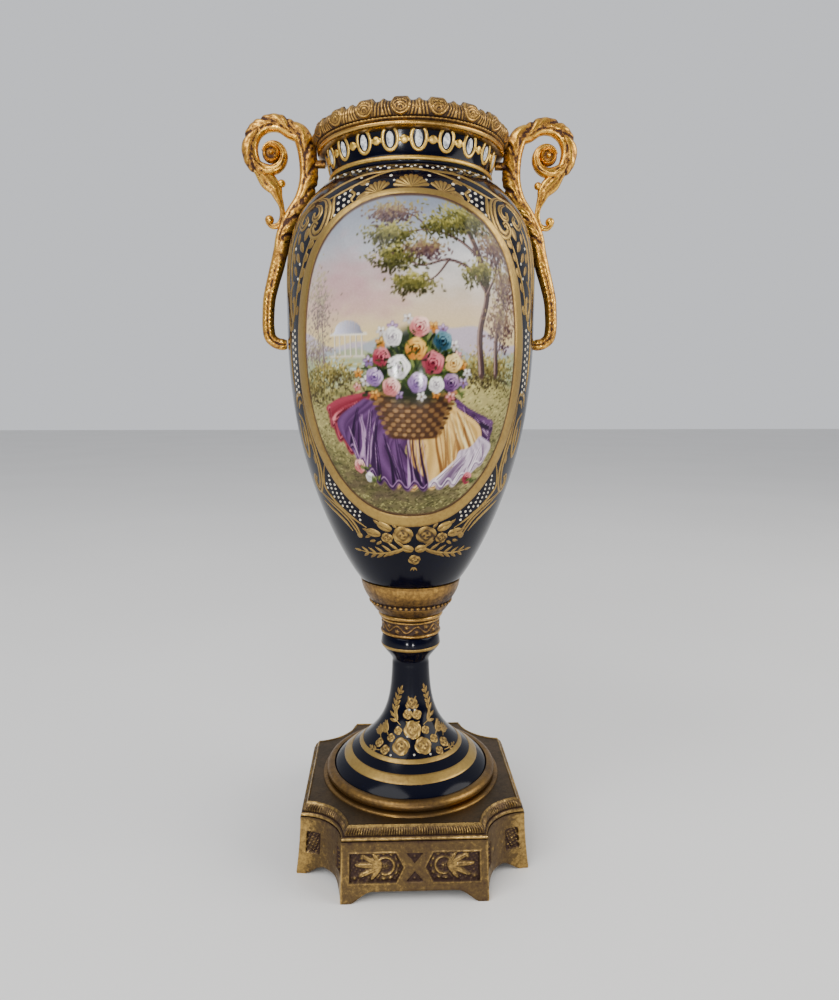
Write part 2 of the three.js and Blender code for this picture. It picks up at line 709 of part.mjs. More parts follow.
function barStations() {
  const hook = bodyBottom + HOOK_RISE;
  const belly = BELLY_RADIUS + FIT_GAP;
  const neck = bodyBottom + neckBottom;
  const rim = RIM_BAND_RADIUS;
  const shoulderStart = neck - SHOULDER_BAR_DROP;
  const climb = (share) => mix(hook, shoulderStart, share);
  return [
    [belly + 0.4, hook, HOOK_WIDTH * 0.8, LOWER_BAR_DEPTH * 0.8],
    [belly + 2.5, hook, HOOK_WIDTH, LOWER_BAR_DEPTH],
    [belly + 6.6, hook + 0.8, HOOK_WIDTH, LOWER_BAR_DEPTH],
    [belly + 10.6, hook + 4, HOOK_WIDTH, LOWER_BAR_DEPTH],
    [belly + 12, hook + 10, LOWER_BAR_WIDTH, LOWER_BAR_DEPTH],
    [belly + 11.7, climb(0.283), LOWER_BAR_WIDTH, LOWER_BAR_DEPTH],
    [belly + 10.5, climb(0.417), LOWER_BAR_WIDTH + 0.5, LOWER_BAR_DEPTH + 0.4],
    [belly + 7.7, climb(0.567), LOWER_BAR_WIDTH + 1.2, LOWER_BAR_DEPTH + 0.9],
    [belly + 4.6, climb(0.717), LOWER_BAR_WIDTH + 2.1, BAR_DEPTH * 0.92],
    [besideShoulder(climb(0.866), 4.6), climb(0.866), BAR_WIDTH * 0.84, BAR_DEPTH],
    [besideShoulder(shoulderStart, 5), shoulderStart, BAR_WIDTH * 0.86, BAR_DEPTH],
    [besideShoulder(neck - 16.5, 5), neck - 16.5, BAR_WIDTH * 0.92, BAR_DEPTH],
    [rim + 6.8, neck - 7.4, BAR_WIDTH * 0.95, BAR_DEPTH],
    [rim + 3.5, neck + 2.6, BAR_WIDTH, BAR_DEPTH],
    [rim + 3.1, neck + 12, BAR_WIDTH, BAR_DEPTH],
    [rim + 4.4, neck + 21.4, BAR_WIDTH, BAR_DEPTH],
    [rim + 7.4, neck + 28.4, BAR_WIDTH * 0.97, BAR_DEPTH],
    loopPoint(132, BAR_WIDTH * 0.84, BAR_DEPTH),
    loopPoint(108, BAR_WIDTH * 0.78, BAR_DEPTH * 0.98),
    loopPoint(84, BAR_WIDTH * 0.77, BAR_DEPTH * 0.96),
    loopPoint(60, BAR_WIDTH * 0.73, BAR_DEPTH * 0.94),
    loopPoint(36, BAR_WIDTH * 0.73, BAR_DEPTH * 0.92),
    loopPoint(12, BAR_WIDTH * 0.8, BAR_DEPTH * 0.92),
    loopPoint(-10, BAR_WIDTH * 0.82, BAR_DEPTH * 0.92),
    [voluteEye[0] + 9.4, voluteEye[1] - 6.8, 7.4, VOLUTE_DEPTH],
    ...voluteStations(),
  ];
}

function voluteDisc() {
  const web = new THREE.CylinderGeometry(VOLUTE_OUTER_END - 0.6, VOLUTE_OUTER_END - 0.6, VOLUTE_WEB_DEPTH, 12);
  const eye = new THREE.SphereGeometry(1, 8, 5);
  eye.scale(VOLUTE_EYE_RADIUS, VOLUTE_DEPTH * 0.56, VOLUTE_EYE_RADIUS);
  return [web, eye].map((geometry) => solid(geometry.translate(voluteEye[0], 0, voluteEye[1])));
}

function pendantLeaf() {
  const [x, z] = voluteEye;
  const tipHeight = bodyBottom + neckBottom - LEAF_TIP_DROP;
  const tip = besideShoulder(tipHeight, LEAF_TIP_OFFSET);
  const leaf = [
    [x + 9, z - 8.5, 5, LEAF_DEPTH],
    [x + 3, z - 14.6, 9.4, LEAF_DEPTH * 1.1],
    [x - 1.5, z - 19.5, 7.4, LEAF_DEPTH],
    [x - 3, z - 23.6, 4.8, LEAF_DEPTH * 0.8],
    [tip - 1.4, tipHeight + 10.2, 2.9, LEAF_DEPTH * 0.64],
    [tip - 1.8, tipHeight + 4.7, 3, LEAF_DEPTH * 0.64],
    [tip, tipHeight, 3.6, LEAF_DEPTH * 0.7],
    [tip + 4.2, tipHeight - 1.2, 3.6, LEAF_DEPTH * 0.7],
    [tip + 7, tipHeight + 1.2, 3, LEAF_DEPTH * 0.7],
  ];
  const curl = new THREE.SphereGeometry(CURL_BALL_RADIUS, 7, 5).translate(tip + 5.8, 0, tipHeight + 2.4);
  const knob = new THREE.SphereGeometry(2.3, 6, 4).scale(1, LEAF_DEPTH / 5, 1).translate(x - 5.4, 0, z - 16.4);
  return [sweptBar(leaf, TWIG_SIDES, 14), solid(curl), solid(knob)];
}

function lug() {
  const start = NECK_TOP_RADIUS - 2;
  const length = RIM_BAND_RADIUS + 3 - start;
  const peg = new THREE.CylinderGeometry(LUG_RADIUS, LUG_RADIUS, length, 8).rotateZ(Math.PI / 2);
  return solid(peg.translate(start + length / 2, 0, rimBottom - LUG_RADIUS - 2 * FIT_GAP));
}

// Room that the body and the rim need, so that a handle only rests against them

function vesselClearance() {
  const skin = bodySkin().map(([radius, height]) => [radius + 1.2 * FIT_GAP, bodyBottom + height]);
  const rim = rimProfile(1).slice(1, 10);
  const rimSkin = rim.map(([radius, height]) => [radius + 1.2 * FIT_GAP, rimBottom + height]);
  const lowerRim = [rimSkin[0][0], rimBottom - 1.5 * FIT_GAP];
  const top = rimSkin[rimSkin.length - 1];
  const first = skin[0];
  return turned([
    [0, first[1]], ...skin.slice(0, -1), [skin[skin.length - 1][0], lowerRim[1]], ...rimSkin.slice(1),
    [top[0], top[1] + FIT_GAP], [0, top[1] + FIT_GAP],
  ], BODY_SIDES);
}

function handle() {
  const bar = sweptBar(barStations(), BAR_SIDES, 46);
  const whole = joined([bar, ...voluteDisc(), ...pendantLeaf(), lug()]);
  return whole.subtract(vesselClearance());
}

// The urn

const urn = new THREE.Group();

function place(name, manifold, material, height = 0, halfTurns = 0) {
  const mesh = namedMesh(name, manifold, material);
  mesh.position.z = height;
  mesh.rotation.z = halfTurns * Math.PI;
  urn.add(mesh);
}

const handleSolid = handle();
place('plinth', plinth(), giltBronze);
place('porcelain_foot', porcelainFoot(), cobaltGlaze, footBottom);
place('collar', collar(), giltBronze, collarBottom);
place('vase_body', vaseBody(), cobaltGlaze, bodyBottom);
place('rim_mount', rimMount(), giltBronze, rimBottom);
place('handle_left', handleSolid, brightGilt, 0, 1);
place('handle_right', handleSolid, brightGilt);

export default urn;
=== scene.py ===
"""The looks of a footed mantel urn in cobalt porcelain with gilt bronze mounts.

Lengths are written in millimetres and turned into metres when a mesh is made. The painted front faces -Y.
Ornament on a turned surface is placed by azimuth, in degrees from the front towards +X, and by height.
"""

import math

import bpy
import numpy as np
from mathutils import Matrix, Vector


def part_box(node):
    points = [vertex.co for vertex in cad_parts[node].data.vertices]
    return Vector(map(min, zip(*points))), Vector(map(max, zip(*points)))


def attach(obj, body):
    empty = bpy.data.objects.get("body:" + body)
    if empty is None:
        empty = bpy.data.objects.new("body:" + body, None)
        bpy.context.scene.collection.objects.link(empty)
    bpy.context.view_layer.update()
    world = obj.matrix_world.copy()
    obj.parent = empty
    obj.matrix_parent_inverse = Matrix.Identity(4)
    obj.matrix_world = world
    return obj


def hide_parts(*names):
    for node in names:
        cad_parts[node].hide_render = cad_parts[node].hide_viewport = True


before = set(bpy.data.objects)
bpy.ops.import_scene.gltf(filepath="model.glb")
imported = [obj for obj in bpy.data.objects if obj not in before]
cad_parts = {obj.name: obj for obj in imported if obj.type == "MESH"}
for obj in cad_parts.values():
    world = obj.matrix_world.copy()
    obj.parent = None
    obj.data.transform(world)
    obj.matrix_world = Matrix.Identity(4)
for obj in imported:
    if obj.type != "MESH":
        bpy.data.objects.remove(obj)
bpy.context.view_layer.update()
random = np.random.default_rng(1765)
uniform, normal = random.uniform, random.normal


# Numbers

METRE = 1000
AXIS = 0.01
TINY = 1e-6


def mix(start, end, share):
    return start + (end - start) * share


def smooth(share):
    """A share from 0 to 1, eased at both ends."""
    share = np.clip(share, 0, 1)
    return share * share * (3 - 2 * share)


def ridge(distance, width):
    """A rounded ridge across a distance, one high at its middle."""
    return np.exp(-(distance / width) ** 2)


def ripple(angle):
    """Even waves between 0 and 1."""
    return 0.5 + 0.5 * np.cos(angle)


def circle(count):
    """Angles spaced evenly round a full turn."""
    return np.arange(count) * 2 * math.pi / count


def shares(count):
    return np.linspace(0, 1, count)


def rotate(x, y, turn):
    cos, sin = math.cos(turn), math.sin(turn)
    return x * cos - y * sin, x * sin + y * cos


def spline(points, count):
    """A smooth line through the points, with as many samples as asked."""
    p = np.asarray(points, float)
    p = np.vstack([2 * p[0] - p[1], p, 2 * p[-1] - p[-2]])
    gap = np.maximum(np.linalg.norm(np.diff(p[:, :2], axis=0), axis=1), TINY)[:, None] ** 0.5
    spans = len(p) - 3
    along = np.linspace(0, spans, count)
    first = np.minimum(along.astype(int), spans - 1)
    t = (along - first)[:, None]
    p0, p1, p2, p3 = (p[first + step] for step in range(4))
    g0, g1, g2 = (gap[first + step] for step in range(3))
    m1 = ((p1 - p0) / g0 - (p2 - p0) / (g0 + g1) + (p2 - p1) / g1) * g1
    m2 = ((p2 - p1) / g1 - (p3 - p1) / (g1 + g2) + (p3 - p2) / g2) * g1
    return p1 + m1 * t + (3 * (p2 - p1) - 2 * m1 - m2) * t ** 2 + (2 * (p1 - p2) + m1 + m2) * t ** 3


# Meshes

def fan_faces(sides):
    """Triangles from each side of a ring to the point that follows the ring."""
    side = np.arange(sides)
    return np.stack([np.full(sides, sides), side, np.roll(side, -1)], -1)


class Build:
    """Gathers points and faces of many small forms into one mesh, with a value at each point for patina, and
    in a few places painted shade.
    """

    def __init__(self):
        self.points = []
        self.hollows = []
        self.faces = []
        self.count = 0

    def add(self, points, faces, hollow=0.0):
        points = np.asarray(points, float).reshape(-1, 3)
        self.points.append(points)
        self.hollows.append(np.broadcast_to(np.asarray(hollow, float).reshape(-1), (len(points),)))
        self.faces.append(np.asarray(faces) + self.count)
        self.count += len(points)

    def grid(self, points, is_ring=False, is_loop=False, hollow=0.0):
        """Rows of points joined into quads: a ring closes a row, a loop joins the last to the first."""
        points = np.asarray(points, float)
        rows, columns = points.shape[:2]
        row = np.arange(rows if is_loop else rows - 1)
        column = np.arange(columns if is_ring else columns - 1)
        here, across = np.meshgrid(row, column, indexing="ij")
        there = (here + 1) % rows
        beside = (across + 1) % columns
        faces = np.stack([
            here * columns + across, here * columns + beside,
            there * columns + beside, there * columns + across,
        ], -1).reshape(-1, 4)
        self.add(points, faces, np.broadcast_to(hollow, (rows, columns)))

    def make(self, name, material, node=None, slot=None, sharp=50, colours=None):
        points = np.concatenate(self.points) / METRE
        mesh = bpy.data.meshes.new(name)
        mesh.vertices.add(len(points))
        mesh.vertices.foreach_set("co", points.astype(np.float32).ravel())
        loops = np.concatenate([faces.ravel() for faces in self.faces])
        sizes = np.concatenate([np.full(len(faces), faces.shape[1]) for faces in self.faces])
        mesh.loops.add(len(loops))
        mesh.loops.foreach_set("vertex_index", loops.astype(np.int32))
        mesh.polygons.add(len(sizes))
        mesh.polygons.foreach_set("loop_start", (np.cumsum(sizes) - sizes).astype(np.int32))
        mesh.polygons.foreach_set("use_smooth", np.ones(len(sizes), bool))
        hollow = mesh.attributes.new("hollow", "FLOAT", "POINT")
        hollow.data.foreach_set("value", np.concatenate(self.hollows).astype(np.float32))
        if colours is not None:
            paint = mesh.attributes.new("paint", "FLOAT_COLOR", "POINT")
            paint.data.foreach_set("color", colours.astype(np.float32).ravel())
        mesh.update(calc_edges=True)
        mesh.validate()
        mesh.set_sharp_from_angle(angle=math.radians(sharp))
        mesh.materials.append(material)
        piece = bpy.data.objects.new(name, mesh)
        bpy.context.scene.collection.objects.link(piece)
        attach(piece, "root")
        if node:
            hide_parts(node)


def ring_points(radius, height, turn):
    return np.stack([radius * np.sin(turn), -radius * np.cos(turn), height + 0 * turn], -1)


def turned_grid(profile, sides):
    """Rows of points for a profile of radius and height pairs, turned about Z."""
    profile = np.asarray(profile, float)
    return ring_points(profile[:, :1], profile[:, 1:], circle(sides))


class Turned:
    """Rings stacked from a bottom height up, whose radius and patina may change round the ring."""

    def __init__(self, bottom, sides):
        self.bottom = bottom
        self.turn = circle(sides)
        self.rows = []
        self.hollows = []

    def row(self, radius, height, hollow=0.0):
        self.rows.append(ring_points(radius + 0 * self.turn, self.bottom + height, self.turn))
        self.hollows.append(hollow + 0 * self.turn)

    def half_round(self, middle, size, reach, count, dark):
        """A moulding of round section, darker towards its two edges."""
        for share in shares(count):
            angle = mix(-reach, reach, share)
            self.row(middle[0] + size[0] * math.cos(angle), middle[1] + size[1] * math.sin(angle),
                     dark * abs(math.sin(angle)) ** 4)

    def build(self, is_loop=False):
        build = Build()
        build.grid(np.stack(self.rows), is_ring=True, is_loop=is_loop, hollow=np.stack(self.hollows))
        return build


# Ornament laid on a turned surface

SINK = 0.05
STROKE_SINK = 0.06
SLOPE_STEP = 0.25
LEAFLET_LEAN = 0.62

# Cross sections: share of the half width, share of the height and patina

ROUND_SECTION = ((-1, 0, 0.7), (-0.72, 0.7, 0.1), (0, 1, 0), (0.72, 0.7, 0.1), (1, 0, 0.7))
GROOVED_SECTION = ((-1, 0, 0.7), (-0.75, 0.8, 0), (-0.42, 0.9, 0), (-0.08, 0.1, 0.9), (0.08, 0.1, 0.9),
                   (0.42, 0.9, 0), (0.75, 0.8, 0), (1, 0, 0.7))
LEAF_SECTION = ((-1, 0, 0.7), (-0.6, 0.8, 0.1), (0, 0.72, 0.5), (0.6, 0.8, 0.1), (1, 0, 0.7))
BAND_SECTION = ((0, 0, 0.6), (0.03, 0.8, 0.1), (0.2, 1, 0), (0.5, 1, 0), (0.8, 1, 0),
                (0.97, 0.8, 0.1), (1, 0, 0.6))


def section_patina(section):
    return np.array([hollow for _, _, hollow in section])


class Surface:
    """A turned surface that ornament is laid on, given by its radius at a height."""

    def __init__(self, radius):
        self.radius = radius

    def slope(self, z):
        return (self.radius(z + SLOPE_STEP) - self.radius(z - SLOPE_STEP)) / (2 * SLOPE_STEP)

    def at(self, azimuth, z, lift):
        slope = self.slope(z)
        length = np.hypot(1, slope)
        radius = self.radius(z) + lift / length
        angle = np.radians(azimuth)
        return np.stack([radius * np.sin(angle), -radius * np.cos(angle), z - lift * slope / length], -1)

    def shift(self, azimuth, z, along, up):
        """The place reached by going along mm round the surface and up mm over it."""
        return azimuth + np.degrees(along / self.radius(z)), z + up / np.hypot(1, self.slope(z))

    def stroke(self, build, points, width, height, ends=(0.25, 0.25), count=None, section=ROUND_SECTION):
        """A raised line through (azimuth, z) points, tapered to a share of its width at each end."""
        line = np.asarray(points, float)
        around = np.radians(np.diff(line[:, 0])) * self.radius(line[:-1, 1])
        reach = np.hypot(around, np.diff(line[:, 1])).sum()
        count = count or int(np.clip(reach / 0.9, 7, 120))
        line = spline(line, count)
        step = np.gradient(line, axis=0)
        along = np.radians(step[:, 0]) * self.radius(line[:, 1])
        up = step[:, 1] * np.hypot(1, self.slope(line[:, 1]))
        length = np.maximum(np.hypot(along, up), TINY)
        from_start, to_end = shares(count) * 3.2, (1 - shares(count)) * 3.2
        taper = np.minimum(mix(ends[0], 1, smooth(from_start)), mix(ends[1], 1, smooth(to_end)))
        half = width / 2 * taper
        rows = []
        for across, rise, _ in section:
            side = half * across / length
            place = self.shift(line[:, 0], line[:, 1], -up * side, along * side)
            rows.append(self.at(*place, height * taper * rise - STROKE_SINK))
        build.grid(np.stack(rows, 1), hollow=section_patina(section))

    def leaf(self, build, azimuth, z, turn, length, width, height):
        """A raised leaf with a pointed tip, turned from the horizontal, with a fine mid vein."""
        share = shares(9)
        half = width / 2 * np.sin(math.pi * share ** 0.8) ** 0.8
        rows = []
        for across, rise, _ in LEAF_SECTION:
            place = self.shift(azimuth, z, *rotate((share - 0.5) * length, across * half, turn))
            rows.append(self.at(*place, height * rise * np.sin(math.pi * share) ** 0.5 - SINK))
        build.grid(np.stack(rows, 1), hollow=section_patina(LEAF_SECTION))

    def dome(self, build, azimuth, z, radius, height, relief=None, sides=12, rings=4, stretch=1, turn=0):
        """A low round boss, with an optional relief that depends on the share of its radius and the angle."""
        share = np.sin(np.linspace(0, math.pi / 2, rings + 1))[1:]
        ring, around = np.meshgrid(share, circle(sides), indexing="ij")
        lift = height * np.sqrt(1 - ring ** 2)
        groove = np.zeros_like(lift)
        top = height
        if relief:
            carving = relief(ring, around)
            lift = lift + carving
            groove = np.clip(-1.5 * carving / height, 0, 1)
            top = height + relief(0, 0)
        groove[-1] = 0.8
        x = ring * radius * stretch * np.cos(around)
        y = ring * radius * np.sin(around)
        points = self.at(*self.shift(azimuth, z, *rotate(x, y, turn)), lift - SINK)
        build.grid(points, is_ring=True, hollow=groove)
        middle = self.at(np.array(azimuth, float), np.array(z, float), top)
        build.add(np.vstack([points[0], middle[None]]), fan_faces(sides))

    def rose(self, build, azimuth, z, radius, height):
        """A round flower whose petals wind inwards."""
        def petals(ring, around):
            outer = 0.28 * np.cos(4 * around + 5 * ring) * smooth((ring - 0.5) / 0.12)
            inner = 0.3 * np.cos(3 * around - 6 * ring + 1) * smooth((0.5 - ring) / 0.12) * smooth(ring / 0.2)
            cut = 0.5 * ridge(ring - 0.52, 0.07) + 0.35 * ridge(ring - 0.2, 0.06)
            return height * (outer + inner - cut - 0.12)
        self.dome(build, azimuth, z, radius, height, petals, sides=32, rings=13)

    def bud(self, build, azimuth, z, turn, length, width, height):
        """An oval bud split along its middle."""
        def petals(ring, around):
            return -0.5 * height * ridge(ring * np.sin(around) - 0.12, 0.13) * (ring > 0.05)
        self.dome(build, azimuth, z, width / 2, height, petals, 20, 7, length / width, turn)

    def fan(self, build, azimuth, z, turn, radius, spread, ribs, height):
        """A shell: ribs that spread from its foot to a scalloped edge."""
        share = shares(9)[:, None]
        side = np.linspace(-1, 1, ribs * 8 + 1)[None, :]
        wave = np.abs(np.cos(side * ribs * math.pi / 2))
        reach = radius * share * (0.9 + 0.1 * wave)
        angle = math.pi / 2 + side * spread
        place = self.shift(azimuth, z, *rotate(reach * np.cos(angle), reach * np.sin(angle), turn))
        rise = (0.35 + 0.65 * wave) * np.minimum(1, 0.3 + share * 1.5) * np.where(share > 0.99, 0.25, 1)
        rise = rise * np.where(np.abs(side) > 0.985, 0, 1)
        build.grid(self.at(*place, height * rise - SINK), hollow=0.8 * (1 - wave) + 0 * share)

    def heading(self, start, end, radius):
        return math.atan2(end[1] - start[1], math.radians(end[0] - start[0]) * radius)

    def leaflet(self, build, foot, turn, length, width, height):
        """A leaf that grows from its foot."""
        place = self.shift(*foot, math.cos(turn) * length * 0.5, math.sin(turn) * length * 0.5)
        self.leaf(build, *place, turn, length, width, height)

    def spray(self, build, points, leaflets, length, width, height=0.4):
        """A curved stem with leaves on both sides and one at its tip."""
        line = spline(points, leaflets + 2)
        self.stroke(build, points, 0.8, height * 0.8, ends=(0.6, 0.5))
        for index in range(1, leaflets + 1):
            here = line[index]
            heading = self.heading(line[index - 1], line[index + 1], float(self.radius(here[1])))
            size = length * mix(1, 0.62, index / leaflets)
            for side in (-1, 1):
                self.leaflet(build, here, heading + side * LEAFLET_LEAN, size, width, height)
        heading = self.heading(line[-2], line[-1], float(self.radius(line[-1][1])))
        self.leaf(build, *line[-1], heading, length * 0.7, width * 0.9, height)

    def band(self, build, low, high, height):
        """A flat raised ring between two heights."""
        turn = np.degrees(circle(200))
        rows = [self.at(turn, mix(low, high, share) + 0 * turn, height * rise - SINK)
                for share, rise, _ in BAND_SECTION]
        build.grid(np.stack(rows), is_ring=True, hollow=section_patina(BAND_SECTION)[:, None])


# Finishes

GLAZE_IOR = 1.35
GLAZE_SPECULAR = 0.25
PATINA_AND_SHADE_FROM_HOLLOW = 0.85
ROUGHER_PATINA = 0.32
DULLER_PATINA = -0.45


def node_material(name):
    material = bpy.data.materials.new(name)
    material.use_nodes = True
    nodes = material.node_tree.nodes
    return material, nodes, material.node_tree.links, nodes["Principled BSDF"]


def attribute_node(nodes, name):
    node = nodes.new("ShaderNodeAttribute")
    node.attribute_name = name
    return node


def noise_node(nodes, links, scale, detail, roughness):
    place = nodes.new("ShaderNodeTexCoord")
    noise = nodes.new("ShaderNodeTexNoise")
    noise.inputs["Scale"].default_value = scale
    noise.inputs["Detail"].default_value = detail
    noise.inputs["Roughness"].default_value = roughness
    links.new(place.outputs["Object"], noise.inputs["Vector"])
    return noise.outputs["Fac"]


def math_node(nodes, links, operation, *values, clamp=False):
    node = nodes.new("ShaderNodeMath")
    node.operation = operation
    node.use_clamp = clamp
    for socket, value in zip(node.inputs, values):
        if isinstance(value, (int, float)):
            socket.default_value = value
        else:
            links.new(value, socket)
    return node.outputs[0]


def ramp_node(nodes, links, factor, stops):
    ramp = nodes.new("ShaderNodeValToRGB")
    links.new(factor, ramp.inputs["Fac"])
    elements = ramp.color_ramp.elements
    while len(elements) < len(stops):
        elements.new(0.5)
    for element, (position, colour) in zip(elements, stops):
        element.position = position
        element.color = (*colour, 1)
    return ramp.outputs["Color"]


def bronze(name, gold, middle, patina, bias, roughness, speckle=0.8, patch=1.3):
    """Cast bronze, dark in its hollows and in patches and bright on what is rubbed; the darkness in hollows
    is patina, and in a few places painted shade.
    """
    material, nodes, links, shader = node_material(name)
    hollow = attribute_node(nodes, "hollow").outputs["Fac"]
    broad = noise_node(nodes, links, 34, 5, 0.6)
    fine = noise_node(nodes, links, 420, 3, 0.7)
    patches = math_node(nodes, links, "MULTIPLY_ADD", broad, patch, bias - patch / 2)
    grain = math_node(nodes, links, "MULTIPLY_ADD", fine, speckle, -speckle / 2)
    wear = math_node(nodes, links, "ADD", patches, grain)
    dark = math_node(nodes, links, "MULTIPLY_ADD", hollow, PATINA_AND_SHADE_FROM_HOLLOW, wear, clamp=True)
    colour = ramp_node(nodes, links, dark, [(0.0, gold), (0.38, middle), (0.85, patina)])
    links.new(colour, shader.inputs["Base Color"])
    rough = math_node(nodes, links, "MULTIPLY_ADD", dark, ROUGHER_PATINA, roughness)
    links.new(rough, shader.inputs["Roughness"])
    metal = math_node(nodes, links, "MULTIPLY_ADD", dark, DULLER_PATINA, 1.0)
    links.new(metal, shader.inputs["Metallic"])
    bump = nodes.new("ShaderNodeBump")
    bump.inputs["Strength"].default_value = 0.35
    bump.inputs["Distance"].default_value = 0.0004
    links.new(fine, bump.inputs["Height"])
    links.new(bump.outputs["Normal"], shader.inputs["Normal"])
    return material


def set_glaze(shader, roughness):
    shader.inputs["Roughness"].default_value = roughness
    shader.inputs["IOR"].default_value = GLAZE_IOR
    shader.inputs["Specular IOR Level"].default_value = GLAZE_SPECULAR


def glaze(name, colour, roughness):
    """A glaze of one colour, a little paler in places."""
    material, nodes, links, shader = node_material(name)
    paler = tuple(channel * 1.5 for channel in colour)
    tone = ramp_node(nodes, links, noise_node(nodes, links, 25, 2, 0.5), [(0.3, colour), (0.7, paler)])
    links.new(tone, shader.inputs["Base Color"])
    set_glaze(shader, roughness)
    return material


def painted():
    """Enamel colours under a clear glaze."""
    material, nodes, links, shader = node_material("painted_enamel")
    paint = attribute_node(nodes, "paint").outputs["Color"]
    noise = noise_node(nodes, links, 900, 2, 0.5)
    speck = ramp_node(nodes, links, noise, [(0.35, (0.72, 0.7, 0.68)), (0.65, (1.0, 1.0, 1.0))])
    tone = nodes.new("ShaderNodeMix")
    tone.data_type = "RGBA"
    tone.blend_type = "MULTIPLY"
    tone.inputs[0].default_value = 0.25
    links.new(paint, tone.inputs[6])
    links.new(speck, tone.inputs[7])
    links.new(tone.outputs[2], shader.inputs["Base Color"])
    set_glaze(shader, 0.1)
    return material


def mottled_enamel():
    material, nodes, links, shader = node_material("mottled_enamel")
    colour = ramp_node(nodes, links, noise_node(nodes, links, 520, 4, 0.7), [
        (0.36, (0.16, 0.17, 0.2)), (0.48, (0.5, 0.53, 0.56)), (0.62, (0.86, 0.87, 0.86)),
    ])
    links.new(colour, shader.inputs["Base Color"])
    shader.inputs["Roughness"].default_value = 0.22
    return material


ANTIQUE = bronze("antique_gilt_bronze", (0.55, 0.32, 0.08), (0.23, 0.125, 0.032), (0.026, 0.011, 0.005),
                 bias=0.12, roughness=0.24, speckle=1.1)
BROWNED = bronze("browned_gilt_bronze", (0.46, 0.29, 0.085), (0.112, 0.07, 0.026), (0.027, 0.01, 0.006),
                 bias=0.1, roughness=0.3, speckle=1.0, patch=0.7)
DARK_PLATE = bronze("brown_gilt_bronze", (0.09, 0.056, 0.025), (0.048, 0.031, 0.015), (0.025, 0.016, 0.009),
                    bias=0.2, roughness=0.36)
RING = bronze("rubbed_gilt_bronze", (0.23, 0.13, 0.036), (0.1, 0.056, 0.019), (0.025, 0.014, 0.008),
              bias=0.2, roughness=0.32)
BRIGHT = bronze("bright_gilt_bronze", (0.82, 0.47, 0.08), (0.47, 0.22, 0.032), (0.045, 0.014, 0.005),
                bias=0.09, roughness=0.25, speckle=2.3, patch=1.0)
GILDING = bronze("raised_gilding", (0.4, 0.262, 0.075), (0.26, 0.16, 0.045), (0.045, 0.026, 0.012),
                 bias=0.08, roughness=0.34)
NECK_GOLD = bronze("neck_gilding", (0.7, 0.46, 0.1), (0.42, 0.25, 0.055), (0.06, 0.03, 0.012),
                   bias=0.0, roughness=0.3)
COBALT = glaze("cobalt_glaze", (0.001, 0.0013, 0.005), 0.13)
WHITE = glaze("white_enamel", (0.44, 0.4, 0.31), 0.2)
PAINTED = painted()
MOTTLED = mottled_enamel()


# The vase's skin, from the collar to the rim

BODY_HEIGHT = 249.2
BODY_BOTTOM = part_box("vase_body")[1].z * METRE - BODY_HEIGHT
BODY_FOOT_RADIUS = 31.6
BELLY = 74.0
BELLY_RISE = 151
SHOULDER_RISE = 83.4
NECK_RADIUS = 46.6
NECK_LIP_RADIUS = 49.5
NECK_RING_HEIGHT = 2.8
NECK_FLARE_HEIGHT = 12
NECK_BOTTOM = BODY_BOTTOM + BELLY_RISE + SHOULDER_RISE
NECK_TOP = BODY_BOTTOM + BODY_HEIGHT
WALL = 4.0
TENON_DEPTH = 8.7


def shell_radius(z):
    h = np.asarray(z, float) - BODY_BOTTOM
    rise = 1 - (1 - np.clip(h / BELLY_RISE, 0, 1)) ** 2.05
    lower = mix(BODY_FOOT_RADIUS, BELLY, np.maximum(rise, 0) ** 0.909)
    upper = mix(BELLY, NECK_RADIUS, np.clip((h - BELLY_RISE) / SHOULDER_RISE, 0, 1) ** 4.4)
    return np.where(h <= BELLY_RISE, lower, upper)


def neck_radius(z):
    rise = np.clip((np.asarray(z, float) - NECK_BOTTOM - NECK_RING_HEIGHT) / NECK_FLARE_HEIGHT, 0, 1)
    return mix(NECK_RADIUS, NECK_LIP_RADIUS, rise ** 1.3)


def skin_radius(z):
    h = np.asarray(z, float) - BODY_BOTTOM
    return np.where(h > 235.8, neck_radius(z), shell_radius(z) - 0.5 * ridge(h - 150, 48))


skin = Surface(skin_radius)
neck = Surface(neck_radius)


def vase_body():
    """The hollow body and neck, with the tenon that stands in the collar."""
    lower = BODY_BOTTOM + BELLY_RISE * shares(60) ** 1.2
    upper = BODY_BOTTOM + BELLY_RISE + SHOULDER_RISE * (1 - (1 - shares(44)[1:-1]) ** 1.6)
    outside = [(skin_radius(z), z) for z in [*lower, *upper]]
    ring = [(47.2, NECK_BOTTOM + 0.5), (47.35, NECK_BOTTOM + 1.4), (47.2, NECK_BOTTOM + 2.3)]
    lip = [(skin_radius(z), z) for z in np.linspace(NECK_BOTTOM + 2.9, NECK_TOP, 10)]
    inside_z = np.linspace(NECK_BOTTOM - 1, BODY_BOTTOM + 2, 60)
    slope = shell_radius(inside_z + 0.5) - shell_radius(inside_z - 0.5)
    inward = WALL / np.hypot(1, slope)
    inside = list(zip(shell_radius(inside_z) - inward, inside_z + slope * inward))
    profile = [
        (AXIS, BODY_BOTTOM - TENON_DEPTH), (17.7, BODY_BOTTOM - TENON_DEPTH), (28.3, BODY_BOTTOM - 5.1),
        (29.5, BODY_BOTTOM), *outside, *ring, *lip,
        (45.5, NECK_TOP), (42.6, NECK_BOTTOM + NECK_RING_HEIGHT), (42.6, NECK_BOTTOM), *inside,
        (14.2, BODY_BOTTOM - 3), (AXIS, BODY_BOTTOM - 3),
    ]
    build = Build()
    build.grid(turned_grid(profile, 160), is_ring=True)
    build.make("fine_vase_body", COBALT, "vase_body", "cobalt_porcelain", sharp=60)


# The oval on the front, an upright egg-like oval whose middle is a little to the left

DESIGN_TURN = -2.2
OVAL_Z = BODY_BOTTOM + 130.3

# Half width in degrees, half height, middle height and fullness

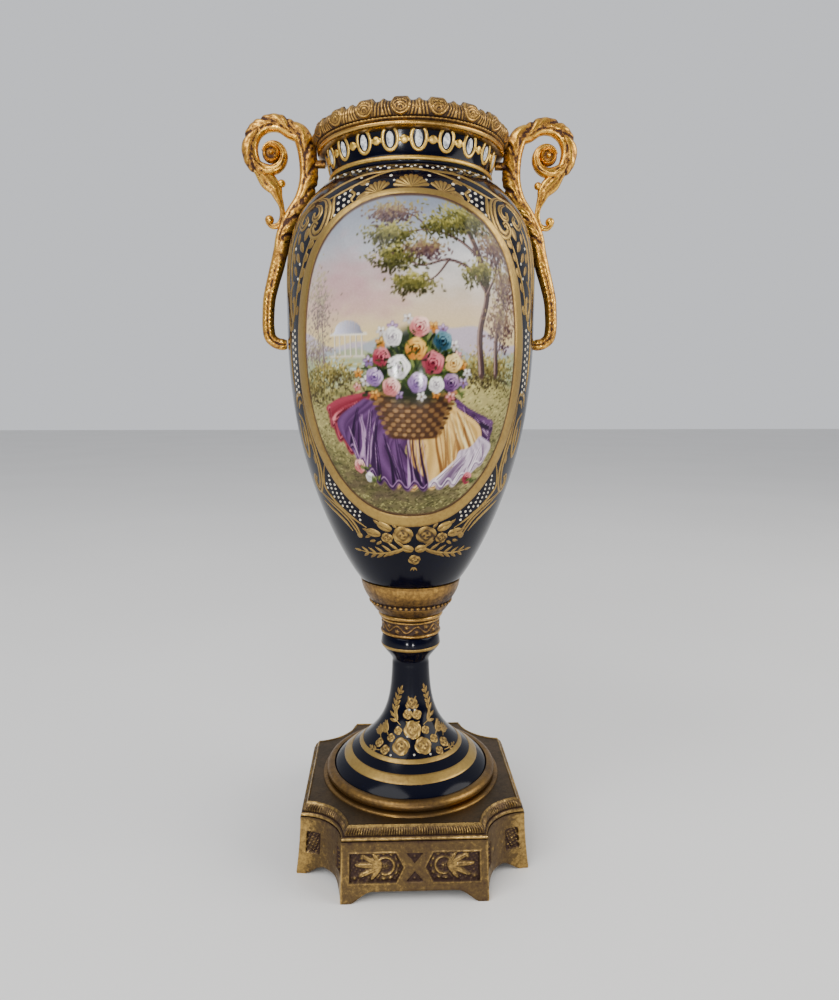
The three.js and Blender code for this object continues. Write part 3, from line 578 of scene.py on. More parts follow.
OVAL_INNER = (51.0, 82.8, OVAL_Z, 2.4)
OVAL_OUTER = (58.6, 88.1, BODY_BOTTOM + 128.6, 2.25)
PAINT_EDGE = 0.05


def oval_shape(share):
    """The oval's numbers at a share of the way from its inner edge to its outer."""
    return [mix(inner, outer, share) for inner, outer in zip(OVAL_INNER, OVAL_OUTER)]


def oval_points(angle, share):
    half_width, half_height, middle, fullness = oval_shape(share)
    cos, sin = np.cos(angle), np.sin(angle)
    azimuth = half_width * np.sign(cos) * np.abs(cos) ** (2 / fullness)
    return azimuth, middle + half_height * np.sign(sin) * np.abs(sin) ** (2 / fullness)


def oval_azimuth(z, share=1.0):
    half_width, half_height, middle, fullness = oval_shape(share)
    level = np.clip(np.abs((z - middle) / half_height), 0, 1)
    return half_width * (1 - level ** fullness) ** (1 / fullness)


def oval_frame(build, turn, inner, outer, height):
    """The gilt border between two shares of the oval's width."""
    patina = np.array([0.7, 0.15, 0, 0, 0, 0, 0, 0.2, 0.8])
    rows = []
    for share in np.linspace(inner, outer, len(patina)):
        azimuth, z = oval_points(circle(360), share)
        place = (share - inner) / (outer - inner) * 2 - 1
        rows.append(skin.at(azimuth + turn, z, height * (1 - place ** 6) ** 0.5 - SINK))
    build.grid(np.stack(rows), is_ring=True, hollow=patina[:, None])


# Paint for the oval, put on a canvas of sRGB colours, u mm round the belly and z mm over the oval's middle

CANVAS_STEP = 0.3
CANVAS_U = 74.0
CANVAS_Z = 85.0
LINE_STEP = 0.45


class Canvas:
    def __init__(self):
        self.u = np.arange(-CANVAS_U, CANVAS_U, CANVAS_STEP)
        self.z = np.arange(-CANVAS_Z, CANVAS_Z, CANVAS_STEP)
        self.colour = np.ones((len(self.z), len(self.u), 3))

    def dab(self, u, z, length, width, angle, colour, alpha=1.0, soft=0.5):
        """One brush mark: a soft-edged ellipse."""
        reach = max(length, width)
        first = max(int((u - reach + CANVAS_U) / CANVAS_STEP), 0)
        last = min(int((u + reach + CANVAS_U) / CANVAS_STEP) + 2, len(self.u))
        low = max(int((z - reach + CANVAS_Z) / CANVAS_STEP), 0)
        high = min(int((z + reach + CANVAS_Z) / CANVAS_STEP) + 2, len(self.z))
        if first >= last or low >= high:
            return
        across, up = rotate(self.u[None, first:last] - u, self.z[low:high, None] - z, -angle)
        distance = np.hypot(across / length, up / width)
        mask = np.clip((1 - distance) / soft, 0, 1)[..., None] * alpha
        window = self.colour[low:high, first:last]
        window += (np.asarray(colour) - window) * mask

    def line(self, points, start_width, end_width, colour, alpha=1.0, soft=0.5):
        """A brush line through the points, made of dabs."""
        points = np.asarray(points, float)
        reach = np.linalg.norm(np.diff(points, axis=0), axis=1).sum()
        count = max(int(reach / (LINE_STEP * max(min(start_width, end_width), 0.5))), 6)
        line = spline(points, count)
        step = np.gradient(line, axis=0)
        for index, (u, z) in enumerate(line):
            width = mix(start_width, end_width, index / (count - 1))
            angle = math.atan2(step[index, 1], step[index, 0])
            self.dab(u, z, width * 0.9, width / 2, angle, colour, alpha, soft)

    def cover(self, top, colour, edge, alpha=1.0):
        """Covers all that lies under a top edge, given in mm for each u."""
        mask = smooth((top[None, :] - self.z[:, None]) / edge)[..., None]
        self.colour += (np.asarray(colour) - self.colour) * mask * alpha

    def sample(self, u, z):
        column = np.clip((u + CANVAS_U) / CANVAS_STEP, 0, len(self.u) - 1.001)
        row = np.clip((z + CANVAS_Z) / CANVAS_STEP, 0, len(self.z) - 1.001)
        left, low = column.astype(int), row.astype(int)
        right_share, up_share = (column - left)[..., None], (row - low)[..., None]
        c = self.colour
        bottom = mix(c[low, left], c[low, left + 1], right_share)
        top = mix(c[low + 1, left], c[low + 1, left + 1], right_share)
        return mix(bottom, top, up_share)


def tint(colour, change):
    return np.clip(np.asarray(colour) + change, 0, 1)


def paint_sky(canvas):
    """A sky from warm haze up to grey blue, with rosy clouds on the left and pale ones on the right."""
    stops = (0, 0.18, 0.42, 0.7, 1.0)
    colours = np.array([
        (0.85, 0.77, 0.50), (0.88, 0.80, 0.57), (0.84, 0.76, 0.66), (0.70, 0.71, 0.73), (0.54, 0.57, 0.63),
    ])
    level = (canvas.z + 12) / 95
    for channel in range(3):
        canvas.colour[..., channel] = np.interp(level, stops, colours[:, channel])[:, None]
    for _ in range(420):
        u = normal(-34, 17)
        z = normal(36, 9) - 0.06 * u
        colour = tint((0.78, 0.62, 0.64), uniform(-0.05, 0.05))
        canvas.dab(u, z, uniform(4, 10), uniform(2, 4.5), normal(0.2, 0.3), colour, 0.12, 1.0)
    for _ in range(240):
        canvas.dab(normal(24, 20), normal(50, 9), uniform(5, 12), uniform(2, 5), normal(0, 0.2),
                   tint((0.88, 0.87, 0.86), uniform(-0.03, 0.03)), 0.12, 1.0)


def paint_distance(canvas):
    """Three rows of hills and a lake."""
    for colour, base, swell, phase in (
        ((0.74, 0.70, 0.78), 14, 5, 0.4), ((0.66, 0.69, 0.70), 8, 4, 2.0), ((0.68, 0.71, 0.55), 3, 3, 3.6),
    ):
        top = base + swell * np.sin(canvas.u / 17 + phase) + 1.6 * np.sin(canvas.u / 5.3 + phase * 2)
        canvas.cover(top, colour, 1.6, 0.85)
    for z in np.arange(-14, 1, 0.55):
        canvas.dab(uniform(-46, -16), z, uniform(6, 12), 0.5, 0,
                   tint((0.78, 0.84, 0.86), uniform(-0.06, 0.05)), 0.8, 0.5)


def paint_temple(canvas):
    """A round garden temple by the lake: six columns, a step, a beam and a dome."""
    middle = -33.7
    for column in range(6):
        u = -42 + column * 3.3
        canvas.line([(u, 3), (u, 13)], 1.1, 1.0, (0.88, 0.85, 0.78))
        canvas.line([(u + 0.5, 3), (u + 0.5, 13)], 0.35, 0.35, (0.62, 0.58, 0.6), 0.8)
    canvas.line([(-44.5, 2.6), (-23, 2.6)], 1.6, 1.6, (0.84, 0.8, 0.74))
    canvas.line([(-44, 13.8), (-23.5, 13.8)], 1.8, 1.8, (0.9, 0.87, 0.8))
    for share in np.linspace(-1, 1, 23):
        top = 15 + 5.4 * math.sqrt(1 - share ** 2)
        canvas.line([(middle + 8.4 * share, 14.6), (middle + 8.0 * share, top)], 1.0, 0.8,
                    tint((0.72, 0.72, 0.78), -0.14 * share), 0.9)


def paint_leaves(canvas, u, z, spread_u, spread_z, count, colours, size=1.0):
    """Small leaves strewn about a place, lighter towards the top."""
    for _ in range(count):
        at_u = normal(u, spread_u)
        at_z = normal(z, spread_z)
        light = (at_z - z) / (2.5 * spread_z) + uniform(-0.5, 0.5)
        pick = int(np.clip((light + 1) / 2 * len(colours), 0, len(colours) - 1))
        canvas.dab(at_u, at_z, uniform(0.7, 1.5) * size, uniform(0.35, 0.7) * size, uniform(0, math.pi),
                   tint(colours[pick], uniform(-0.05, 0.05)), 0.8, 0.5)


# The trees: the points of each trunk and branch with its width at both ends, and each clump of leaves with
# its middle, its spread both ways, its count and whether it is olive

TRUNKS = (
    ([(40, -6), (38, 14), (42, 34), (37, 52), (30, 66)], 4.6, 2.0),
    ([(50, -6), (49, 12), (54, 32), (50, 48)], 3.6, 1.6),
    ([(41, 36), (33, 45), (20, 50), (6, 47), (-6, 51)], 2.2, 0.8),
    ([(37, 52), (25, 60), (10, 64), (-8, 62)], 1.8, 0.6),
    ([(20, 50), (12, 41), (2, 38)], 1.3, 0.5),
    ([(10, 64), (2, 71), (-9, 73)], 1.0, 0.5),
    ([(42, 34), (48, 46), (46, 58)], 1.8, 0.8),
)
CLUMPS = (
    (31, 70, 9, 4, 630, True), (47, 57, 6, 5, 495, False), (38, 44, 5, 3, 300, True),
    (-7, 51, 6, 3.4, 495, True),
    (-10, 62, 6, 3, 390, True), (-10, 73, 6, 2.4, 330, False), (8, 55, 5, 2.2, 255, False),
    (1, 38, 5, 2.6, 390, True), (18, 66, 6, 2.4, 285, True),
    (55, 38, 4, 6, 360, False), (52, 20, 5, 6, 390, False),
)
OLIVE = ((0.24, 0.23, 0.13), (0.36, 0.36, 0.19), (0.50, 0.48, 0.25), (0.68, 0.65, 0.36))
MAUVE = ((0.32, 0.23, 0.26), (0.44, 0.34, 0.33), (0.56, 0.46, 0.36), (0.66, 0.60, 0.40))
SLIM = ((0.5, 0.43, 0.45), (0.6, 0.55, 0.5), (0.72, 0.68, 0.55))
BUSH = ((0.27, 0.23, 0.17), (0.40, 0.36, 0.20), (0.56, 0.51, 0.28), (0.76, 0.69, 0.40))


def paint_trees(canvas):
    """Two leaning trees on the right, lit from the left, and two slim ones far off on the left."""
    for points, start, end in TRUNKS:
        canvas.line(points, start, end, (0.38, 0.29, 0.28), 0.95)
        lit = [(u - 0.25 * start, z + 0.1) for u, z in points]
        canvas.line(lit, start * 0.35, end * 0.3, (0.66, 0.56, 0.52), 0.7)
        shaded = [(u + 0.3 * start, z) for u, z in points]
        canvas.line(shaded, start * 0.3, end * 0.3, (0.30, 0.24, 0.27), 0.6)
    for u, z, wide, high, count, is_olive in CLUMPS:
        paint_leaves(canvas, u, z, wide, high, count, OLIVE if is_olive else MAUVE, 1.15)
    for u in (-50, -53.5):
        canvas.line([(u, 0), (u - 0.5, 26)], 1.1, 0.6, (0.5, 0.43, 0.46), 0.8)
    paint_leaves(canvas, -52, 30, 4.4, 9, 420, SLIM, 0.9)
    paint_leaves(canvas, -57, 6, 6, 4, 300, SLIM, 0.9)


def ground_wave(u, z):
    height = OVAL_Z + z
    return math.sin(height / 6.5 + u / 26) + 0.5 * math.sin(u / 13 - height / 9)


def paint_ground(canvas):
    """Rough grass in rolling light and dark, browner at the lower left, and bushes at its far edge."""
    top = -8 + 3.2 * np.sin(canvas.u / 21 + 1) + 1.4 * np.sin(canvas.u / 6)
    depth = np.clip((-8 - canvas.z) / 74, 0, 1)[:, None, None]
    canvas.cover(top, mix(np.array((0.72, 0.68, 0.45)), np.array((0.47, 0.44, 0.29)), depth), 3)
    for _ in range(900):
        u, z = uniform(-74, 74), uniform(-86, -8)
        darkness = np.clip(0.5 - 0.42 * ground_wave(u, z), 0, 1)
        colour = mix(np.array((0.78, 0.73, 0.49)), np.array((0.30, 0.31, 0.16)), darkness)
        canvas.dab(u, z, uniform(3, 9), uniform(1, 2.2), normal(0, 0.16), colour, 0.4, 1.0)
    for _ in range(6200):
        u, z = uniform(-74, 74), uniform(-86, -4)
        is_dark = uniform(0, 1) > 0.42 + 0.2 * ground_wave(u, z)
        colour = (0.26, 0.26, 0.14) if is_dark else (0.82, 0.79, 0.52)
        canvas.dab(u, z, uniform(0.6, 1.5), uniform(0.22, 0.42), normal(0.15, 0.3),
                   tint(colour, uniform(-0.05, 0.05)), 0.62, 0.5)
    for _ in range(130):
        canvas.dab(normal(-22, 24), normal(-66, 9), uniform(4, 10), uniform(1, 2.4), normal(0.1, 0.2),
                   (0.42, 0.34, 0.3), 0.3, 1.0)
    for u, z, wide, high, count in (
        (-45, -6, 10, 3.6, 560), (47, -4, 10, 5, 760), (-60, -14, 8, 4, 320), (24, -3, 8, 3, 320),
        (0, -4, 14, 2.2, 380),
    ):
        paint_leaves(canvas, u, z, wide, high, count, BUSH)


def paint_cloth(canvas, top, hem, bow, colours, folds):
    """Cloth that spills from a gathered edge to a curling hem, shaded fold by fold."""
    dark, middle, light = (np.array(colour) for colour in colours)
    samples = folds * 10
    starts, ends = spline(top, samples + 1), spline(hem, samples + 1)

    def bent(index, out=0.0):
        start, end = starts[index], ends[index]
        side = math.sin(index * 0.31) * 2.4 + out
        half = mix(start, end, 0.5) + [bow + side, 0.9 * math.sin(index * 0.7)]
        return [start, half, end + [bow * -0.15, 2.0 * math.sin(index * 0.63)]]

    for index in range(samples + 1):
        canvas.line(bent(index), 2.2, 3.4, tint(middle, 0.06 * math.sin(index * 0.8)), 0.95, 0.6)
    for fold in range(folds * 4):
        start, half, end = bent(int(random.integers(0, samples + 1)), normal(0, 1))
        begin = mix(start, half, uniform(0, 0.9))
        colour = (dark, light, mix(middle, dark, 0.6))[fold % 3]
        width = uniform(1.6, 3.8)
        canvas.line([begin, mix(begin, end, 0.5) + [normal(0, 1.4), 0], end], 0.7, width, colour, 0.42, 1.0)
        canvas.line([begin + [0.8, 0], end + [1.2, 0.6]], 0.5, 0.9, dark if fold % 4 else light, 0.5, 0.9)
    hem_line = [bent(index)[2] for index in range(0, samples + 1, 2)]
    canvas.line(hem_line, 1.2, 1.2, mix(middle, light, 0.7), 0.8, 0.8)
    canvas.line([point - [0, 0.9] for point in hem_line], 0.8, 0.8, dark, 0.7, 0.8)


def paint_rose(canvas, u, z, radius, colours):
    """A full rose of curling petals, lit from above."""
    dark, middle, light = (np.array(colour) for colour in colours)
    eye = np.array([u, z])
    canvas.dab(u, z, radius, radius * 0.9, 0.3, mix(dark, middle, 0.35), 0.95, 0.35)
    for ring, (reach, thick) in enumerate(((0.76, 0.46), (0.5, 0.36), (0.24, 0.26))):
        petals = 5 - ring
        for petal in range(petals):
            start = 2 * math.pi * petal / petals + 0.9 * ring + 0.3 * u
            angles = start + np.array([0.0, 0.5, 1.0]) * 1.9 / (1 + 0.25 * (3 - ring))
            out = radius * reach * np.array([1.0, 1.12, 1.0])
            arc = eye + np.stack([out * np.cos(angles), out * np.sin(angles)], -1)
            lit = np.clip(0.45 + 0.55 * math.sin(angles[1] + 0.6), 0, 1)
            colour = tint(mix(middle, light, lit), uniform(-0.03, 0.03))
            canvas.line(mix(eye, arc, 0.72), radius * 0.2, radius * 0.26, dark, 0.6, 0.8)
            canvas.line(arc, radius * thick * 0.7, radius * thick, colour, 0.85, 0.6)
    canvas.dab(u, z, radius * 0.12, radius * 0.12, 0, dark, 0.9, 0.6)


def paint_daisy(canvas, u, z, radius, colours):
    """A small open flower of five petals round a brown eye."""
    dark, middle, light = (np.array(colour) for colour in colours)
    start = uniform(0, math.pi)
    for petal in range(5):
        angle = start + 2 * math.pi * petal / 5
        place = u + 0.55 * radius * math.cos(angle), z + 0.5 * radius * math.sin(angle)
        lit = np.clip(0.5 + 0.5 * math.sin(angle), 0, 1)
        canvas.dab(*place, radius * 0.56, radius * 0.4, angle, mix(dark, middle, 0.4), 0.7, 0.4)
        canvas.dab(*place, radius * 0.48, radius * 0.32, angle, mix(middle, light, lit), 0.9, 0.6)
    canvas.dab(u, z, radius * 0.22, radius * 0.2, 0, (0.44, 0.3, 0.12), 0.9, 0.6)


# Colours of the still life: dark, middle and light

PURPLE = ((0.19, 0.06, 0.25), (0.42, 0.26, 0.46), (0.74, 0.62, 0.74))
CREAM = ((0.56, 0.38, 0.18), (0.84, 0.70, 0.42), (0.95, 0.88, 0.66))
CRIMSON = ((0.38, 0.06, 0.15), (0.62, 0.22, 0.30), (0.88, 0.56, 0.58))
SILVER = ((0.48, 0.38, 0.50), (0.76, 0.70, 0.76), (0.94, 0.91, 0.92))
TEAL = ((0.05, 0.13, 0.2), (0.18, 0.33, 0.4), (0.5, 0.66, 0.7))
LILAC = ((0.32, 0.2, 0.42), (0.56, 0.43, 0.64), (0.84, 0.76, 0.87))
ROSE = ((0.54, 0.2, 0.26), (0.80, 0.48, 0.48), (0.96, 0.82, 0.76))
SNOW = ((0.52, 0.48, 0.52), (0.80, 0.78, 0.78), (0.97, 0.96, 0.93))
AMBER = ((0.52, 0.27, 0.08), (0.80, 0.52, 0.18), (0.95, 0.80, 0.44))
GREENS = ((0.12, 0.18, 0.09), (0.22, 0.29, 0.14), (0.36, 0.42, 0.21), (0.54, 0.58, 0.32))

# Cloths, in the order they are laid: gathered edge, hem, sideways bow, colours and folds

CLOTHS = (
    ([(-22, -16), (-25, -22), (-26, -28)], [(-50, -24), (-46, -36), (-36, -46)], -5, CRIMSON, 3),
    ([(22, -17), (27, -22), (27, -30)], [(43, -54), (50, -44), (51, -32)], 7, PURPLE, 4),
    ([(-8, -28), (14, -25), (25, -24)], [(-6, -65), (24, -62), (44, -48)], 7, CREAM, 5),
    ([(-26, -20), (-12, -24), (6, -28)], [(-38, -44), (-20, -62), (9, -65)], -11, PURPLE, 6),
    ([(30, -48), (38, -46), (44, -40)], [(14, -65), (32, -62), (50, -50)], 5, SILVER, 4),
)

# Flowers, in the order they are laid: u, z, radius and colours

DAISIES = (
    (-15, 9, 3.4, AMBER), (-22, 0, 3.4, LILAC), (23, 8, 3.4, SNOW), (28, -2, 3.2, AMBER),
    (-9, 17, 3.2, LILAC),
    (12, 17, 3.2, AMBER), (-24, -10, 3.4, SNOW), (29, -11, 3.2, LILAC), (-1, 21, 3, SNOW),
    (-15, 15, 2.8, SNOW),
    (17, 16, 3, LILAC), (-28, -6, 2.8, AMBER), (31, -6, 2.8, SNOW), (6, -18, 3, SNOW), (-19, -17, 3, AMBER),
    (22, -18, 3.2, ROSE), (-6, -17, 2.8, LILAC), (14, -17, 2.6, AMBER), (-29, -13, 2.6, ROSE),
    (25, 3, 2.8, ROSE),
)
ROSES = (
    (-9, 12, 5.2, SNOW), (5, 17, 5.4, ROSE), (17, 10, 5.2, TEAL), (-15, 2, 5, CRIMSON), (23, -1, 5, CREAM),
    (3, 6, 6, AMBER), (-19, -8, 5, LILAC), (12, -1, 6.2, CRIMSON), (-6, -3, 6.4, SNOW), (22, -11, 5, PURPLE),
    (-10, -13, 5, ROSE), (4, -11, 5.4, LILAC), (14, -12, 4.4, SNOW),
)
FALLEN_ROSES = ((-32, -55, 4, ROSE), (-26, -61, 3, SNOW), (38, -62, 3.6, CRIMSON))
BASKET_U = 2
BASKET_FOOT = -39
BASKET_RIM = -18.4


def paint_basket(canvas):
    """A wicker basket, woven over and under, with a rolled rim."""
    for row in range(24):
        half = 15.5 + row * 0.33
        canvas.dab(BASKET_U, BASKET_FOOT + row * 0.9, half, 1.5, 0, (0.36, 0.23, 0.12), 0.95, 0.25)
    for row in range(8):
        half = 15 + row * 0.95
        for step in range(13):
            from_middle = (step - 6) / 6 * half
            u = BASKET_U + from_middle
            z = BASKET_FOOT + 1 + row * 2.5 + 1.3 * (abs(from_middle) / half) ** 2
            colour = (0.6, 0.46, 0.28) if (row + step) % 2 == 0 else (0.36, 0.25, 0.15)
            canvas.dab(u, z, half / 9, 1.25, 0, tint(colour, 0.10 - 0.008 * abs(u + 4)), 0.95, 0.4)
    for drop, width, colour, alpha in ((0, 2.4, (0.74, 0.56, 0.3), 0.95), (1, 0.8, (0.38, 0.24, 0.14), 0.7)):
        rim = [(-21, BASKET_RIM + 2.4 - drop), (BASKET_U, BASKET_RIM - drop), (25, BASKET_RIM + 2.4 - drop)]
        canvas.line(rim, width, width, colour, alpha)


def paint_bouquet(canvas):
    """A wicker basket of garden flowers set down on lengths of cloth."""
    for _ in range(160):
        canvas.dab(normal(2, 24), normal(-61, 3.4), uniform(4, 9), 1.5, 0, (0.24, 0.22, 0.14), 0.24, 1)
    for cloth in CLOTHS:
        paint_cloth(canvas, *cloth)
    paint_basket(canvas)
    canvas.dab(BASKET_U, -7, 25, 17, 0, GREENS[0], 0.9, 0.35)
    canvas.dab(BASKET_U, 6, 15, 13, 0, GREENS[0], 0.8, 0.45)
    for _ in range(420):
        angle, reach = uniform(-0.25, math.pi + 0.25), uniform(3, 28)
        canvas.dab(BASKET_U + math.cos(angle) * reach, -11 + math.sin(angle) * reach * 0.95, uniform(1.8, 4),
                   uniform(0.6, 1.3), angle + normal(0, 0.5),
                   tint(GREENS[random.integers(0, 4)], uniform(-0.04, 0.04)), 0.9, 0.4)
    for daisy in DAISIES:
        paint_daisy(canvas, *daisy)
    for rose in ROSES:
        paint_rose(canvas, *rose)
    for _ in range(46):
        angle, reach = uniform(0, math.pi), uniform(6, 25)
        canvas.dab(BASKET_U + math.cos(angle) * reach, -8 + math.sin(angle) * reach, uniform(1.2, 2.4),
                   uniform(0.5, 0.8), angle + normal(0, 0.8), GREENS[random.integers(0, 3)], 0.85, 0.5)
    for u, z, radius, colours in FALLEN_ROSES:
        paint_rose(canvas, u, z, radius, colours)
        paint_leaves(canvas, u + 4, z - 1, 2, 0.8, 16, GREENS[1:], 1.4)


def enamel(colour):
    """Canvas colours turned to linear ones, greyed and deepened as fired enamel is."""
    grey = colour.mean(-1, keepdims=True)
    colour = mix(grey, np.clip(colour, 0, 1), 0.86) ** 1.35
    return np.where(colour <= 0.04045, colour / 12.92, ((np.clip(colour, 0, 1) + 0.055) / 1.055) ** 2.4)


def painted_oval():
    """The painting, a skin just over the glaze with a thin brown line at its edge."""
    canvas = Canvas()
    for paint in (paint_sky, paint_distance, paint_temple, paint_ground, paint_trees, paint_bouquet):
        paint(canvas)
    rows, columns = 330, 292
    _, half_height, middle, _ = oval_shape(PAINT_EDGE)
    z = middle - half_height * np.cos(np.linspace(0.02, math.pi - 0.02, rows))
    azimuth = oval_azimuth(z, PAINT_EDGE)[:, None] * np.linspace(-1, 1, columns)[None, :]
    heights = np.repeat(z[:, None], columns, 1)
    colour = canvas.sample(np.radians(azimuth) * BELLY, heights - OVAL_Z)
    half_width, half_height, middle, fullness = OVAL_INNER
    across, up = np.abs(azimuth / half_width), np.abs((heights - middle) / half_height)
    edge = (across ** fullness + up ** fullness) ** (1 / fullness)
    line = smooth((edge - 0.975) / 0.02)[..., None]
    colour = enamel(mix(colour, np.array((0.36, 0.24, 0.16)), line * 0.8))
    build = Build()
    build.grid(skin.at(azimuth + DESIGN_TURN, heights, 0.12 + 0 * azimuth))
    colours = np.concatenate([colour, np.ones((rows, columns, 1))], -1)
    build.make("painted_oval", PAINTED, slot="cobalt_porcelain", colours=colours)


# Rim

RIM_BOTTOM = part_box("rim_mount")[0].z * METRE + 7
SHELLS = 18
SHELL_PITCH = 360 / SHELLS
SHELL_FIRST = -7.2
SHELL_MIDDLE = 5.3
SHELL_BAND_RADIUS = 56
SHELL_BAND_LOW = 4.95
ROPE_STRANDS = 150


def shell_relief(across, up):
    """Height of the shell band's carving, across mm from a shell's middle and up mm over the band's foot."""
    half = math.radians(SHELL_PITCH) * SHELL_BAND_RADIUS / 2
    rise = up - SHELL_MIDDLE
    reach = np.hypot(across, rise)
    rings = 0.75 * ridge(reach - 4.7, 0.5) + 0.45 * ridge(reach - 3.45, 0.4)
    from_foot = np.hypot(across, rise + 2.6)
    crescents = 0.42 * ripple(2 * math.pi * from_foot / 1.45) * (reach < 3.1) + 0.3 * ridge(reach, 2.2)
    dots = sum(0.5 * ridge(np.hypot(across - at, rise - 2.0 + 0.16 * at * at), 0.42) for at in (-1.4, 0, 1.4))
    inside = rings + np.where(reach < 4.2, crescents + dots, 0)
    lean = np.hypot(across * 1.05, rise * 0.75)
    strokes = 0.6 * ripple(2 * math.pi * (lean - 5.1) / 1.75) * smooth((lean - 4.9) / 0.8)
    from_bud = np.abs(across) - half
    bud = 0.75 * ridge(np.hypot(from_bud, (up - 7.4) / 2.6), 1.0)
    stem = 0.6 * ridge(from_bud, 0.4) * smooth((6 - up) / 1.5)
    outside = np.where(reach > 5.2, strokes, 0)
    return inside + np.maximum(outside, np.maximum(bud, stem)) * (reach > 5.0)


def rim_mount():
    """The rim: a plain ovolo, a thin rope and a band of round shells with a lumpy upper edge."""
    rim = Turned(RIM_BOTTOM, SHELLS * 52)
    azimuth = np.degrees(rim.turn) - SHELL_FIRST
    phase = (azimuth + SHELL_PITCH / 2) % SHELL_PITCH - SHELL_PITCH / 2
    across = np.radians(phase) * SHELL_BAND_RADIUS
    swell = np.abs(np.cos(np.radians(azimuth) * SHELLS / 2))
    top = 12.7 + 1.95 * smooth((5.6 - np.abs(across)) / 2.4) + 1.2 * ridge(np.abs(across) - 9.77, 1.5)
    for radius, height in ((41.6, 7.7), (41.6, -7), (43.2, -7), (43.2, 0), (49.0, 0)):
        rim.row(radius, height, 0.4)
    for share in shares(10):
        angle = mix(-1.45, 0.75, share)
        radius = 49.6 + 4.6 * math.cos(angle) ** 0.7
        rim.row(radius, 1.9 + 1.75 * math.sin(angle), 0.75 * ridge(share, 0.12) - 0.1)
    rope = 0.3 * (0.5 + 0.5 * np.sin(rim.turn * ROPE_STRANDS))
    for radius, height, hollow in (
        (53.1, 3.5, 0.9), (53.4, 3.75, 0.7), (54.1 + rope, 4.15, 0.3 - rope), (54.1 + rope, 4.5, 0.3 - rope),
        (53.5, 4.85, 0.9),
    ):
        rim.row(radius, height, hollow)
    for share in shares(46):
        height = mix(SHELL_BAND_LOW, top, share)
        relief = shell_relief(across, height - SHELL_BAND_LOW)
        relief = relief * smooth(share / 0.05) * smooth((1.02 - share) / 0.08)
        curve = 54.25 + 1.7 * math.sin(math.pi * min(share * 1.15, 1)) - 1.5 * max(share - 0.86, 0) / 0.14
        curve = curve + 0.8 * swell * math.sin(math.pi * share)
        # The carving is darker where it is low: patina in the grooves, deepened with painted shade.
        rim.row(curve + 0.95 * relief, height, np.clip(1.05 - 1.8 * relief, -0.1, 1))
    rim.row(53.0 - 0.4 * swell, top + 0.05, 0.1)
    rim.row(52.4, top - 0.5, 0.3)
    rim.row(51.6, 7.7, 0.8)
    rim.build(is_loop=True).make("fine_rim", ANTIQUE, "rim_mount", "antique_gilt_bronze", sharp=70)


# Collar

COLLAR_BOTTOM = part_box("collar")[0].z * METRE
COLLAR_BENDS = 9
COLLAR_BAND_RADIUS = 18.4
COLLAR_BEADS = 46


def floral_relief(turn, share):
    """A stem that winds along the collar's band, with a flower of five petals in each bend."""
    wind = turn * COLLAR_BENDS
    level = (share - 0.5) * 2
    stem = ridge(level - 0.6 * np.sin(wind), 0.17)
    place = (((wind / math.pi) % 1) - 0.5) * math.pi / COLLAR_BENDS * COLLAR_BAND_RADIUS / 3.2
    side = level + 0.42 * np.sign(np.sin(wind))
    around = np.arctan2(side, place)
    flower = ridge(np.hypot(side, place) / (0.42 + 0.1 * np.cos(5 * around)), 0.8)
    return np.maximum(stem * 0.8, flower) * smooth(share / 0.06) * smooth((1 - share) / 0.06)


def collar_bead(build, angle):
    around = circle(14)
    rise = np.linspace(-math.pi / 2, math.pi / 2, 9)[:, None]
    out = 25.5 + np.cos(rise) * np.cos(around)
    side = 1.2 * np.cos(rise) * np.sin(around)
    up = COLLAR_BOTTOM + 21.0 + 1.05 * np.sin(rise) + 0 * around
    points = np.stack([*rotate(side, -out, angle), up], -1)
    build.grid(points, is_ring=True, hollow=np.clip(0.7 - 0.4 * (out - 25.4), 0, 1))


def collar():
    """The collar: a floral band between rings, a hollowed throat, a row of beads and a plain bowl."""
    mount = Turned(COLLAR_BOTTOM, 400)
    mount.row(AXIS, 0)
    mount.row(18.9, 0)
    mount.half_round((18.35, 0.95), (0.85, 0.85), 1.4, 7, 0.5)
    for share in shares(22):
        relief = floral_relief(mount.turn, share)
        mount.row(18.0 + 0.75 * relief, mix(2.1, 8.5, share), np.clip(0.8 - 0.75 * relief, 0, 1))
    mount.half_round((18.3, 9.35), (0.8, 0.75), 1.4, 7, 0.5)
    mount.row(18.3, 10.4, 0.9)
    mount.half_round((19.3, 12.3), (1.35, 1.45), 1.5, 9, 0.4)
    for share in shares(12):
        mount.row(mix(20.2, 25.2, share ** 0.8), mix(13.9, 19.6, share ** 1.3), 0.75 - 0.3 * share)
    mount.row(25.2, 20.0, 1)
    mount.row(25.5, 22.0, 1)
    # The bowl grows darker towards its foot: painted shade on its lower part, which turns away from the
    # light. The darker lines at its two edges are patina.
    for share in shares(20):
        radius = mix(26.2, 31.3, 1 - (1 - share) ** 1.8) + 0.25 * ridge(share - 1, 0.07)
        edges = 0.6 * ridge(share, 0.05) + 0.3 * ridge(share - 0.93, 0.03)
        mount.row(radius, mix(22.3, 35.2, share), 0.2 + 0.35 * smooth((0.8 - share) / 0.7) + edges)
    for radius, height, hollow in (
        (30.9, 35.6, 0), (30.1, 35.6, 0), (28.9, 30.2, 0.8), (18.7, 26.6, 0.8), (AXIS, 26.6, 0.8),
    ):
        mount.row(radius, height, hollow)
    build = mount.build()
    for angle in circle(COLLAR_BEADS):
        collar_bead(build, angle)
    build.make("fine_collar", ANTIQUE, "collar", "antique_gilt_bronze", sharp=60)


# Porcelain foot

FOOT_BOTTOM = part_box("porcelain_foot")[0].z * METRE
FOOT_TOP = FOOT_BOTTOM + 93.3
FOOT_WALL = 4.4
FOOT_LIP = 5.1
TRUMPET_HEIGHT = 69
TRUMPET_SPREAD = 37.9
WAIST = 11.7
KNOP_LOW = 74.1
KNOP_MIDDLE = 86.9
KNOP_RADIUS = 18.8


